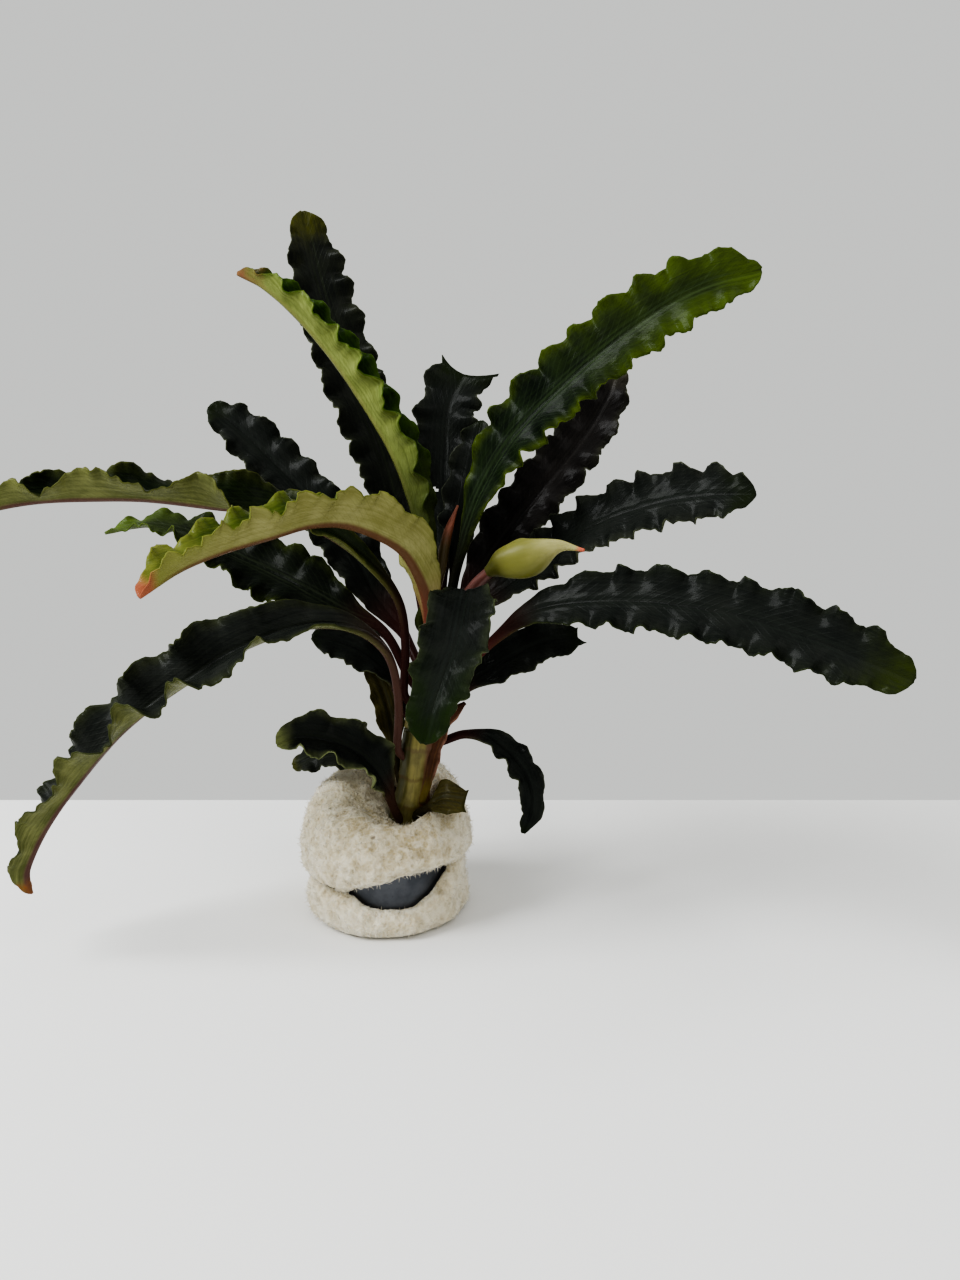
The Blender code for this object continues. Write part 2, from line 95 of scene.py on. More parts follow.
# Foam plug
PLUG_SIDES = 420
PLUG_FINE = 8            # rows between two points of the plug's profile
PLUG_BASE = 11.8
PLUG_LOWER = 13.9
PLUG_UPPER = 14.6
LIP_RADIUS = 12.1
GROOVE_OUTER = 11.8
GROOVE_INNER = 10.3
GROOVE_LOW = 4.0
GROOVE_HIGH = 12.0
HOLE_RADIUS = 3.5
HOLE_FLOOR = 7.6
HOLE_CENTRE = (4.0, -1.0)
SLIT_HALF = -0.1
EYE_HALF = 2.9
EYE_MIDDLE = 18.0
EYE_SPREAD = 47.0
SLIT_MIDDLE = 7.2
CREST = 22.3
DIP_DIRECTION = 55.0
DIP_DEPTH = 1.2
WARM_PLACE = (2.5, -7.0, 18.0)   # where the foam is darkest and most yellow-brown

# Lead strip
STRIP_LOW = 4.35
STRIP_HIGH = 11.65
STRIP_INNER = 10.65
STRIP_OUTER = 11.4
STRIP_SIDES = 240


@dataclass
class Leaf:
    """One leaf, from the foot of its stalk to its tip."""

    name: str
    path: tuple              # points on the midrib, x, y, z
    width: float             # at the widest place
    fold: float = 20.0       # how far each half stands up from flat, degrees
    roll: tuple = (0, 0)     # turn about the midrib, degrees, from the foot to the tip
    wave: tuple = (7, 35)    # length of the margin's waves, and how far they curl it, degrees
    stalk: float = 0.2       # share of the length before the blade
    blunt: float = 3.0       # 1.5 is a drawn-out tip, 5 a rounded one
    phase: float = 0.0       # where the waves start, turns
    cut: float = 0.0         # share of the width that a bitten tip still has
    horns: tuple = (0, 0)    # how far the left and right margins run on past a bitten tip
    look: str = "ink"
    holes: tuple = ()        # share of the length, place across from -1 to 1, radius


LEAVES = (
    Leaf("leaf_tall_back",
         ((7.2, 3.2, 48), (5.8, 6, 55.8), (2.4, 10, 67), (-1.4, 14, 79), (-6, 17.5, 90),
          (-10.2, 21, 102), (-13, 24, 112), (-14.6, 26, 119)),
         width=11, fold=14, roll=(-10, -30), wave=(6, 28), stalk=0.14, blunt=4.5, look="moss"),
    Leaf("leaf_folded_upright",
         ((6.3, -0.9, 52.5), (8, -0.4, 57), (8.2, 1, 61.7), (6.4, 2, 66.6), (3.2, 3, 76.3),
          (0, 4, 82.7), (-6.4, 5, 92.5), (-12.7, 6, 100), (-18.4, 7, 105), (-22.8, 8, 107.3)),
         width=10.5, fold=62, wave=(5.6, 26), stalk=0.1, blunt=2.4, look="lime"),
    Leaf("leaf_back_left",
         ((5.4, 3.4, 44), (3, 7.8, 47.5), (-2, 12, 53), (-7, 14.2, 61.6), (-14.8, 17, 70.6),
          (-22.3, 21, 77.6), (-28.6, 24, 82.8), (-33, 26, 85.6)),
         width=10, fold=18, roll=(-30, -50), wave=(5.6, 28), stalk=0.08, blunt=4, phase=0.3),
    Leaf("leaf_far_left",
         ((3.5, -1.2, 40), (3.9, -1.8, 48.8), (2.8, -2, 55.6), (-1.5, -3, 61.6), (-7.7, -4, 66.6),
          (-15.4, -5, 70), (-25.3, -6, 71.4), (-35, -8, 72.8), (-42.5, -9, 73), (-51, -10, 72.7),
          (-57, -11, 71.8), (-63.5, -12, 70)),
         width=12, fold=46, roll=(-20, -42, -30, -4, 0, 0), wave=(14, 60), stalk=0.24, blunt=2.4,
         phase=0.1, look="olive"),
    Leaf("leaf_front_left",
         ((6.6, -3.9, 42), (8, -5.6, 49.6), (8.2, -7.5, 55), (6.9, -10, 60.5), (4.1, -13, 65.7),
          (-2.7, -19, 70.2), (-7.6, -25, 71.2), (-12.3, -30, 70.3), (-17.9, -36, 69.1),
          (-21.9, -41, 67.7), (-25.7, -46, 65.3)),
         width=12.5, fold=44, roll=(34, 16, 6, 10), wave=(7, 17), stalk=0.14, blunt=3.2, look="lime_red"),
    Leaf("leaf_broad_left",
         ((3.9, 1.8, 42), (0, 4.6, 48.3), (-6.3, 6.4, 51.3), (-13.5, 9, 54.8), (-20.7, 12.2, 57.7),
          (-28, 14, 60.6), (-35, 15, 64), (-42.3, 16, 65.3), (-50.4, 16, 64)),
         width=12.5, fold=18, roll=(-35, -52, -50, -18, -12), wave=(6, 36), stalk=0.14, blunt=1.2,
         phase=0.6, look="lacy"),
    Leaf("leaf_long_drooping",
         ((2.4, -3.4, 31), (2.8, -4.6, 39), (1.7, -6.2, 46.5), (-1.3, -8, 50.8), (-5.9, -9, 52.9),
          (-11.9, -11, 53.2), (-18.1, -12, 51.3), (-23.4, -13, 49), (-29, -14, 45.4),
          (-33.5, -15, 42.4), (-39, -16, 38), (-43, -17, 33.8), (-46.5, -17, 29.6),
          (-49.5, -18, 25.7), (-52.3, -18, 21.5), (-54.5, -18, 17.4), (-55.6, -18, 14.3),
          (-55.4, -18, 11.1)),
         width=13.4, fold=44, roll=(0, -12, -34, -44, -14, 10, 26), wave=(11, 46), stalk=0.2, blunt=2.2,
         phase=0.2,
         look="olive_brown_tip"),
    Leaf("leaf_short_left",
         ((3.0, 1.2, 36.5), (0.8, 0.8, 42), (-3.4, 0.4, 46), (-8, 0, 48.2), (-11.8, -0.4, 49)),
         width=8.5, fold=15, roll=(-30, -50), wave=(5.6, 26), stalk=0.22, blunt=3, phase=0.4),
    Leaf("leaf_bitten_back",
         ((9.4, 3.0, 51.5), (10.1, 6.4, 60), (10.1, 13.4, 68.7), (10, 19, 77.1), (10.7, 22, 85.6),
          (13.4, 24.4, 91.3)),
         width=13, fold=10, wave=(5.2, 22), stalk=0.21, cut=0.85, horns=(2, 2.2), phase=0.5,
         holes=((0.52, 0.25, 0.5),)),
    Leaf("leaf_small_back",
         ((11.0, 1.9, 53.5), (12, 3.4, 58.8), (13.2, 5.4, 67.6), (14.8, 8.6, 75.5), (16.6, 11.6, 83.8)),
         width=8, fold=14, wave=(5.2, 24), stalk=0.2, blunt=4),
    Leaf("leaf_tall_right",
         ((12.0, -1.2, 52.5), (11.8, -1.9, 57), (13.4, -2.2, 63.9), (16.6, -2.4, 73.4),
          (21.5, -3, 81.8), (28.9, -4, 89.6), (36.3, -6, 96.1), (43.8, -8, 101.5),
          (50.3, -9, 104.7), (57.4, -10, 106.4)),
         width=11.6, fold=16, roll=(45, 80), wave=(5.6, 28), stalk=0.16, blunt=4.5, look="fresh"),
    Leaf("leaf_back_right",
         ((10.2, 3.1, 46.5), (13.5, 4.6, 53.6), (18, 7.4, 60.8), (23.1, 9.8, 67.4), (28.4, 12, 73.8),
          (34.6, 16, 81.2), (38.8, 19, 87.9), (40.6, 21, 93)),
         width=10.5, fold=16, roll=(30, 50), wave=(5.4, 30), stalk=0.1, blunt=3, phase=0.7,
         look="ink_brown"),
    Leaf("leaf_middle_right",
         ((11.6, 0.6, 44.5), (14.4, 1.4, 51.8), (19.6, 1.4, 56.2), (26.1, 0, 61.3),
          (33.7, -4.4, 67.7), (42.5, -9, 72), (49.4, -13, 73.9), (56.8, -17, 74.6)),
         width=10.6, fold=14, roll=(40, 62), wave=(5.2, 25), stalk=0.1, blunt=5, phase=0.2),
    Leaf("leaf_long_right",
         ((10.7, -2.5, 40.5), (14.5, -4.4, 45.3), (19.2, -7, 50.6), (24.2, -9, 54.8),
          (30.2, -12, 57.1), (40.5, -16, 58.3), (48.7, -20, 58.1), (56.7, -24, 57.1),
          (64.3, -28, 55.1), (70.5, -31, 52.9), (76.2, -33, 50.7)),
         width=10.8, fold=14, roll=(45, 66), wave=(6.2, 31), stalk=0.18, blunt=6,
         look="ink_green_tip"),
    Leaf("leaf_eaten_right",
         ((10.8, 1.3, 36.8), (15.8, 1.6, 40.8), (21.4, 2, 44.6), (27.4, 3, 47.2), (33, 4, 47.8)),
         width=8.5, fold=14, roll=(35, 55), wave=(7, 28), stalk=0.2, cut=0.35, horns=(0.3, 1.2)),
    Leaf("leaf_front",
         ((9.7, -3.4, 46), (12, -5.2, 52), (13.8, -8.4, 57.3), (14, -12, 58.8), (13.5, -16.6, 57),
          (12.6, -21, 53.2), (10.9, -25, 49), (9.4, -28, 44.9), (8.2, -29.4, 40.3)),
         width=11, fold=16, wave=(7, 26), stalk=0.24, blunt=2.4, phase=0.5, look="front"),
    Leaf("leaf_low_left",
         ((1.9, -5.0, 19.8), (0.5, -6.3, 24.5), (-1.6, -8, 29), (-5, -10, 32.6), (-9.6, -11, 34.6),
          (-13.3, -12, 35.1), (-16, -13, 34.3)),
         width=9.6, fold=30, roll=(-56, -44), wave=(6.4, 32), stalk=0.08, blunt=3, look="pale_tip"),
    Leaf("leaf_low_small",
         ((0.4, 2.2, 21.5), (-2.8, 2.8, 25.4), (-7.3, 3.2, 27), (-11.8, 4, 26.5), (-16.8, 5, 24)),
         width=7.4, fold=12, roll=(-25, -45), wave=(6, 34), stalk=0.22, blunt=2.4, look="moss"),
    Leaf("leaf_narrow_upright",
         ((2.0, 3.4, 24), (1.4, 3.8, 28.7), (0.3, 4.4, 34.8), (-1.2, 5.2, 39.4), (-3.3, 6, 43)),
         width=5, fold=12, roll=(-50, -50), wave=(5, 22), stalk=0.2, blunt=2.4, look="dull_olive"),
    Leaf("leaf_curled_right",
         ((9.9, 1.4, 30), (13.7, 1.2, 31.3), (18, 0.6, 30.7), (21.8, 0, 27.8), (24.2, -0.6, 24.4),
          (25.2, -1, 21), (25, -1.4, 17.9), (23.7, -2, 14.4)),
         width=5.6, fold=20, roll=(20, 70), wave=(5, 45), stalk=0.18, blunt=2),
    Leaf("leaf_stub_front",
         ((7.2, -5.2, 20.2), (10.2, -6.4, 22.4), (13.8, -7.4, 22.4)),
         width=6.5, fold=12, roll=(30, 40), wave=(5, 24), stalk=0.15, cut=0.6, horns=(0.2, 0.9),
         look="dull_olive"),
    Leaf("dry_sheath",
         ((6.2, -2.9, 20.5), (6.9, -3.0, 25), (8.0, -3.1, 30), (10.2, -2.2, 34.6), (13.8, -0.8, 37.6)),
         width=3.8, fold=-30, roll=(62, 50), wave=(5, 16), stalk=0.0, blunt=1.2, look="sheath"),
)


@dataclass
class Look:
    """The colours of one kind of leaf, linear red, green and blue."""

    slot: str
    top: tuple               # the two colours that mottle the upper side
    under: tuple             # the two that mottle the underside
    rib_top: tuple
    rib_under: tuple
    petiole: tuple
    tip: tuple
    tip_start: float = 0.9   # share of the length where the tip's colour sets in
    margin: tuple = (0.1, 0.11, 0.065)
    margin_share: float = 0.15
    gloss: float = 0.3       # roughness
    shine: float = 0.05      # strength of the reflections
    foot: float = 0.2        # share of the length that keeps the petiole's colour
    point: tuple = None      # the very end of the tip, where it differs


INK = ((0.0105, 0.0125, 0.011), (0.019, 0.0215, 0.018))
INK_UNDER = ((0.03, 0.036, 0.012), (0.07, 0.08, 0.022))
PURPLE_BROWN = (0.045, 0.016, 0.014)
LOOKS = {
    "ink": Look("leaf_dark", INK, INK_UNDER, (0.018, 0.022, 0.018), PURPLE_BROWN, PURPLE_BROWN,
                (0.012, 0.018, 0.006)),
    "ink_brown": Look("leaf_dark", ((0.01, 0.009, 0.0085), (0.018, 0.016, 0.015)), INK_UNDER,
                      (0.02, 0.018, 0.016), PURPLE_BROWN, PURPLE_BROWN, (0.06, 0.055, 0.04),
                      tip_start=0.9),
    "ink_green_tip": Look("leaf_dark", INK, INK_UNDER, (0.018, 0.022, 0.018), PURPLE_BROWN,
                          (0.08, 0.02, 0.016), (0.03, 0.042, 0.008), tip_start=0.86,
                          margin=(0.04, 0.055, 0.015)),
    "moss": Look("leaf_dark", ((0.01, 0.0115, 0.01), (0.019, 0.0215, 0.0155)), INK_UNDER,
                 (0.022, 0.027, 0.016), PURPLE_BROWN, PURPLE_BROWN, (0.06, 0.062, 0.01),
                 tip_start=0.88),
    "lacy": Look("leaf_dark", ((0.006, 0.008, 0.006), (0.012, 0.016, 0.0095)), INK_UNDER,
                 (0.03, 0.038, 0.022), PURPLE_BROWN, PURPLE_BROWN, (0.1, 0.15, 0.03),
                 tip_start=0.66, margin=(0.06, 0.08, 0.015), margin_share=0.5),
    "front": Look("leaf_dark", ((0.011, 0.013, 0.0113), (0.024, 0.0275, 0.0235)), INK_UNDER,
                  (0.024, 0.03, 0.026), PURPLE_BROWN, PURPLE_BROWN, (0.016, 0.032, 0.006),
                  tip_start=0.6, margin=(0.09, 0.11, 0.05), margin_share=0.35),
    "fresh": Look("leaf_green", ((0.0065, 0.01, 0.0065), (0.014, 0.025, 0.009)), INK_UNDER,
                  (0.035, 0.055, 0.025), PURPLE_BROWN, (0.01, 0.01, 0.006), (0.06, 0.09, 0.016),
                  tip_start=0.5, margin=(0.085, 0.12, 0.018), margin_share=0.6),
    "lime": Look("leaf_underside", ((0.008, 0.02, 0.004), (0.03, 0.065, 0.01)),
                 ((0.11, 0.135, 0.034), (0.24, 0.28, 0.09)), (0.05, 0.08, 0.02), (0.2, 0.21, 0.07),
                 (0.035, 0.045, 0.012), (0.22, 0.08, 0.05), tip_start=0.93,
                 margin=(0.06, 0.11, 0.016), margin_share=0.6, foot=0.38),
    "lime_red": Look("leaf_underside", ((0.03, 0.055, 0.01), (0.08, 0.11, 0.02)),
                     ((0.2, 0.195, 0.068), (0.3, 0.29, 0.13)), (0.08, 0.1, 0.03),
                     (0.12, 0.045, 0.03), (0.16, 0.035, 0.032), (0.19, 0.205, 0.05),
                     tip_start=0.74, margin=(0.16, 0.175, 0.04), margin_share=0.5,
                     point=(0.32, 0.11, 0.06)),
    "olive": Look("leaf_dark", ((0.005, 0.009, 0.004), (0.016, 0.026, 0.007)),
                  ((0.09, 0.1, 0.035), (0.18, 0.19, 0.075)), (0.02, 0.026, 0.012),
                  (0.11, 0.045, 0.045), (0.045, 0.017, 0.014), (0.07, 0.09, 0.02),
                  margin=(0.1, 0.11, 0.03), margin_share=0.4),
    "olive_brown_tip": Look("leaf_dark", ((0.014, 0.0165, 0.0145), (0.03, 0.033, 0.028)),
                            ((0.085, 0.095, 0.032), (0.19, 0.2, 0.08)), (0.024, 0.028, 0.02),
                            (0.1, 0.04, 0.045), (0.09, 0.045, 0.035), (0.22, 0.09, 0.03),
                            tip_start=0.965, margin=(0.05, 0.06, 0.02), margin_share=0.5),
    "pale_tip": Look("leaf_dark", INK, ((0.1, 0.12, 0.045), (0.22, 0.24, 0.11)),
                     (0.018, 0.022, 0.014), (0.1, 0.045, 0.03), (0.05, 0.026, 0.018),
                     (0.16, 0.18, 0.07), tip_start=0.88, margin=(0.14, 0.16, 0.07), margin_share=0.5),
    "dull_olive": Look("leaf_dark", ((0.04, 0.034, 0.013), (0.09, 0.078, 0.026)), INK_UNDER,
                       (0.045, 0.045, 0.025), PURPLE_BROWN, (0.03, 0.024, 0.01), (0.04, 0.038, 0.01),
                       margin=(0.06, 0.06, 0.018)),
    "sheath": Look("red_growth", ((0.045, 0.02, 0.011), (0.13, 0.06, 0.028)),
                   ((0.045, 0.02, 0.011), (0.13, 0.06, 0.028)), (0.06, 0.025, 0.016), (0.06, 0.025, 0.016),
                   (0.12, 0.09, 0.02), (0.03, 0.013, 0.008), tip_start=0.86,
                   margin=(0.45, 0.25, 0.19), margin_share=0.55, gloss=0.4),
}


class Graph:
    """Short ways to add and link the nodes of one tree."""

    def __init__(self, tree):
        self.tree = tree

    def add(self, kind, inputs=None, **settings):
        node = self.tree.nodes.new(kind)
        for name, value in settings.items():
            setattr(node, name, value)
        for name, value in (inputs or {}).items():
            self.feed(node.inputs[name], value)
        return node

    def feed(self, socket, value):
        if isinstance(value, bpy.types.NodeSocket):
            self.tree.links.new(value, socket)
        elif isinstance(value, tuple) and len(value) == 3 and socket.type == "RGBA":
            socket.default_value = (*value, 1.0)
        else:
            socket.default_value = value

    def math(self, operation, first, second=0.0):
        return self.add("ShaderNodeMath", {0: first, 1: second}, operation=operation).outputs[0]

    def rise(self, value, low, high, to_low=0.0, to_high=1.0):
        """A soft rise from to_low to to_high while the value goes from low to high."""
        node = self.add("ShaderNodeMapRange", {
            "Value": value, "From Min": low, "From Max": high, "To Min": to_low, "To Max": to_high,
        }, interpolation_type="SMOOTHSTEP")
        return node.outputs["Result"]

    def mix(self, share, first, second, blend_type="MIX"):
        node = self.add("ShaderNodeMix", data_type="RGBA", blend_type=blend_type)
        self.feed(node.inputs[0], share)
        self.feed(node.inputs[6], first)
        self.feed(node.inputs[7], second)
        return node.outputs[2]

    def scaled(self, vector, scale):
        """A vector stretched by three factors."""
        return self.add("ShaderNodeMapping", {"Vector": vector, "Scale": scale}).outputs[0]

    def noise(self, vector, scale, detail=3.0, roughness=0.5):
        return self.add("ShaderNodeTexNoise", {
            "Vector": vector, "Scale": scale, "Detail": detail, "Roughness": roughness,
        }).outputs["Fac"]

    def cells(self, vector, scale, feature="F1"):
        return self.add("ShaderNodeTexVoronoi", {"Vector": vector, "Scale": scale},
                        feature=feature).outputs["Distance"]

    def bump(self, height, strength, distance, normal=None):
        inputs = {"Height": height, "Strength": strength, "Distance": distance}
        if normal is not None:
            inputs["Normal"] = normal
        return self.add("ShaderNodeBump", inputs).outputs[0]


def new_material(name):
    """A material with one Principled shader, and the graph that feeds it."""
    made = bpy.data.materials.new(name)
    made.use_nodes = True
    return made, Graph(made.node_tree), made.node_tree.nodes["Principled BSDF"]


def leaf_material(name, look):
    """Wet leaf skin: mottled upper and lower side, streaks along the blade, side veins and midrib."""
    made, graph, shader = new_material(name)
    place = graph.add("ShaderNodeAttribute", attribute_name="blade_mm").outputs["Vector"]
    share = graph.add("ShaderNodeAttribute", attribute_name="blade_share").outputs["Vector"]
    under = graph.add("ShaderNodeAttribute", attribute_name="under").outputs["Fac"]
    parts = graph.add("ShaderNodeSeparateXYZ", {0: place})
    along, across = parts.outputs[0], graph.math("ABSOLUTE", parts.outputs[1])
    shares = graph.add("ShaderNodeSeparateXYZ", {0: share})
    down, out = shares.outputs[0], graph.math("ABSOLUTE", shares.outputs[1])

    object_place = graph.add("ShaderNodeTexCoord").outputs["Object"]
    mottle = graph.noise(object_place, 260.0, 4.0, 0.6)
    streak = graph.noise(graph.scaled(place, (0.1, 2.6, 1.0)), 1.0, 4.0, 0.6)
    fine = graph.noise(graph.scaled(place, (0.35, 6.0, 1.0)), 1.0, 2.0)
    slant = graph.math("SUBTRACT", along, graph.math("MULTIPLY", across, 1.5))
    wobble = graph.math("ADD", slant, graph.math("MULTIPLY", mottle, 1.2))
    vein = graph.math("SINE", graph.math("MULTIPLY", wobble, 2.0 * math.pi / 1.5))
    vein = graph.rise(vein, 0.55, 1.0)
    tone = graph.math("ADD", graph.math("MULTIPLY", mottle, 0.5), graph.math("MULTIPLY", streak, 0.5))
    tone = graph.rise(tone, 0.34, 0.66)

    top = graph.mix(tone, *look.top)
    top = graph.mix(graph.math("MULTIPLY", vein, 0.2), top, look.rib_top)
    line = graph.math("MULTIPLY", graph.rise(across, 0.25, 0.45), graph.rise(across, 0.6, 0.85, 1.0, 0.0))
    second = graph.math("MULTIPLY", graph.rise(across, 1.0, 1.15), graph.rise(across, 1.2, 1.4, 1.0, 0.0))
    line = graph.math("ADD", line, graph.math("MULTIPLY", second, 0.5))
    line = graph.math("MULTIPLY", line, graph.rise(fine, 0.3, 0.6, 0.25, 0.8))
    top = graph.mix(line, top, look.rib_top)
    below = graph.mix(tone, *look.under)
    below = graph.mix(graph.math("MULTIPLY", vein, 0.15), below, look.under[0])
    rib_band = graph.rise(across, 0.4, 1.0, 1.0, 0.0)
    below = graph.mix(graph.math("MULTIPLY", rib_band, 0.85), below, look.rib_under)
    skin = graph.mix(under, top, below)

    edge = graph.math("MULTIPLY", graph.rise(out, 0.6, 1.0), graph.rise(mottle, 0.35, 0.65, 0.2, 1.0))
    rim = graph.math("MULTIPLY", graph.rise(out, 0.95, 0.99), graph.rise(fine, 0.35, 0.6, 0.3, 1.0))
    rim = graph.math("MULTIPLY", rim, min(look.margin_share + 0.5, 1.0))
    edge = graph.math("MAXIMUM", graph.math("MULTIPLY", edge, look.margin_share), rim)
    skin = graph.mix(edge, skin, look.margin)
    end = graph.math("ADD", down, graph.math("MULTIPLY", graph.math("SUBTRACT", mottle, 0.5), 0.12))
    end = graph.rise(end, look.tip_start, min(look.tip_start + 0.4, 1.0))
    spread = graph.math("MAXIMUM", graph.rise(out, 0.1, 0.75, 0.3, 1.0), graph.rise(down, 0.85, 0.97))
    spread = graph.math("MULTIPLY", spread, graph.rise(tone, 0.0, 1.0, 0.6, 1.0))
    skin = graph.mix(graph.math("MULTIPLY", end, spread), skin, look.tip)
    if look.point:
        skin = graph.mix(graph.rise(down, 0.955, 0.985), skin, look.point)
    foot = graph.rise(down, look.foot * 0.5, look.foot * 1.4 + 0.02, 1.0, 0.0)
    skin = graph.mix(foot, skin, look.petiole)
    graph.feed(shader.inputs["Base Color"], skin)

    dull = graph.rise(graph.noise(object_place, 700.0, 3.0), 0.35, 0.7, look.gloss - 0.06, look.gloss + 0.14)
    graph.feed(shader.inputs["Roughness"], dull)
    shader.inputs["Specular IOR Level"].default_value = look.shine
    shader.inputs["Coat Weight"].default_value = 0.04
    shader.inputs["Coat Roughness"].default_value = 0.08
    pores = graph.cells(graph.scaled(place, (2.6, 4.2, 1.0)), 1.0)
    height = graph.math("ADD", graph.math("MULTIPLY", streak, 0.8), graph.math("MULTIPLY", fine, 0.4))
    height = graph.math("ADD", height, graph.math("MULTIPLY", vein, 0.25))
    height = graph.math("SUBTRACT", height, graph.math("MULTIPLY", line, 0.3))
    height = graph.math("ADD", height, graph.math("MULTIPLY", pores, 0.12))
    graph.feed(shader.inputs["Normal"], graph.bump(height, 0.6, 0.12 * MM))
    return made


def flesh_material(name, colours, patch, patch_spots, gloss, along_name="rod_mm"):
    """Smooth plant flesh: two tones in long streaks, with patches of a third."""
    made, graph, shader = new_material(name)
    place = graph.add("ShaderNodeAttribute", attribute_name=along_name).outputs["Vector"]
    object_place = graph.add("ShaderNodeTexCoord").outputs["Object"]
    streak = graph.noise(graph.scaled(place, (0.14, 1.3, 1.3)), 1.0, 4.0, 0.6)
    mottle = graph.noise(object_place, 420.0, 4.0, 0.6)
    tone = graph.math("ADD", graph.math("MULTIPLY", mottle, 0.35), graph.math("MULTIPLY", streak, 0.65))
    skin = graph.mix(graph.rise(tone, 0.36, 0.64), *colours)
    for low, high in patch_spots:
        parts = graph.add("ShaderNodeSeparateXYZ", {0: place})
        reach = graph.math("ADD", parts.outputs[0], graph.math("MULTIPLY", mottle, 2.0))
        skin = graph.mix(graph.rise(reach, low, high, 1.0, 0.0), skin, patch)
    graph.feed(shader.inputs["Base Color"], skin)
    graph.feed(shader.inputs["Roughness"], graph.rise(mottle, 0.3, 0.7, gloss - 0.05, gloss + 0.12))
    shader.inputs["Coat Weight"].default_value = 0.2
    shader.inputs["Coat Roughness"].default_value = 0.15
    height = graph.math("ADD", streak, graph.math("MULTIPLY", mottle, 0.5))
    graph.feed(shader.inputs["Normal"], graph.bump(height, 0.5, 0.15 * MM))
    return made


def stem_material():
    """Stem flesh: a yellow-green stripe between an olive side and a red-brown one, darker olive at its foot.
    """
    made, graph, shader = new_material("stem_flesh")
    place = graph.add("ShaderNodeAttribute", attribute_name="rod_mm").outputs["Vector"]
    object_place = graph.add("ShaderNodeTexCoord").outputs["Object"]
    streak = graph.noise(graph.scaled(place, (0.12, 1.3, 1.3)), 1.0, 4.0, 0.6)
    mottle = graph.noise(object_place, 380.0, 4.0, 0.6)
    parts = graph.add("ShaderNodeSeparateXYZ", {0: place})
    drift = graph.math("MULTIPLY", graph.math("SUBTRACT", streak, 0.5), 2.2)
    aside = graph.math("ADD", parts.outputs[1], drift)
    tone = graph.math("ADD", graph.math("MULTIPLY", mottle, 0.45), graph.math("MULTIPLY", streak, 0.55))
    skin = graph.mix(graph.rise(tone, 0.34, 0.66), (0.11, 0.095, 0.024), (0.24, 0.21, 0.065))
    skin = graph.mix(graph.rise(aside, -2.0, -0.4, 1.0, 0.0), skin, (0.05, 0.048, 0.014))
    skin = graph.mix(graph.rise(aside, 0.9, 1.9, 0.0, 0.9), skin, (0.1, 0.036, 0.018))
    scars = graph.math("SINE", graph.math("MULTIPLY", graph.math("ADD", parts.outputs[0], drift), 1.21))
    skin = graph.mix(graph.rise(scars, 0.86, 0.99, 0.0, 0.4), skin, (0.1, 0.05, 0.022))
    # darker olive near the foot, where the stem goes into the foam
    low = graph.math("ADD", parts.outputs[0], graph.math("MULTIPLY", mottle, 3.0))
    skin = graph.mix(graph.rise(low, 9.5, 15.0, 0.85, 0.0), skin, (0.06, 0.055, 0.017))
    graph.feed(shader.inputs["Base Color"], skin)
    graph.feed(shader.inputs["Roughness"], graph.rise(mottle, 0.3, 0.7, 0.3, 0.48))
    shader.inputs["Specular IOR Level"].default_value = 0.3
    shader.inputs["Coat Weight"].default_value = 0.1
    shader.inputs["Coat Roughness"].default_value = 0.15
    height = graph.math("ADD", streak, graph.math("MULTIPLY", mottle, 0.6))
    graph.feed(shader.inputs["Normal"], graph.bump(height, 0.6, 0.2 * MM))
    return made


def bud_material():
    """Waxy bud: olive at its foot, yellow-green in the middle, cream towards a salmon tip."""
    made, graph, shader = new_material("bud_skin")
    place = graph.add("ShaderNodeAttribute", attribute_name="rod_mm").outputs["Vector"]
    share = graph.add("ShaderNodeAttribute", attribute_name="rod_share").outputs["Fac"]
    object_place = graph.add("ShaderNodeTexCoord").outputs["Object"]
    mottle = graph.noise(object_place, 300.0, 4.0, 0.6)
    streak = graph.noise(graph.scaled(place, (0.12, 1.2, 1.2)), 1.0, 4.0, 0.6)
    drift = graph.math("ADD", share, graph.math("MULTIPLY", graph.math("SUBTRACT", mottle, 0.5), 0.16))
    skin = graph.mix(graph.rise(drift, 0.08, 0.3), (0.065, 0.065, 0.013), (0.16, 0.16, 0.035))
    skin = graph.mix(graph.rise(drift, 0.4, 0.85), skin, (0.37, 0.35, 0.16))
    skin = graph.mix(graph.math("MULTIPLY", graph.rise(streak, 0.4, 0.7), 0.25), skin, (0.12, 0.125, 0.02))
    skin = graph.mix(graph.rise(share, 0.9, 0.97), skin, (0.5, 0.13, 0.08))
    graph.feed(shader.inputs["Base Color"], skin)
    graph.feed(shader.inputs["Roughness"], graph.rise(mottle, 0.3, 0.7, 0.42, 0.55))
    shader.inputs["Subsurface Weight"].default_value = 0.15
    shader.inputs["Subsurface Radius"].default_value = (1.0, 0.8, 0.3)
    shader.inputs["Subsurface Scale"].default_value = 1.2 * MM
    shader.inputs["Specular IOR Level"].default_value = 0.3
    shader.inputs["Coat Weight"].default_value = 0.05
    shader.inputs["Coat Roughness"].default_value = 0.3
    height = graph.math("ADD", graph.math("MULTIPLY", streak, 0.8), graph.math("MULTIPLY", mottle, 0.4))
    graph.feed(shader.inputs["Normal"], graph.bump(height, 0.35, 0.15 * MM))
    return made


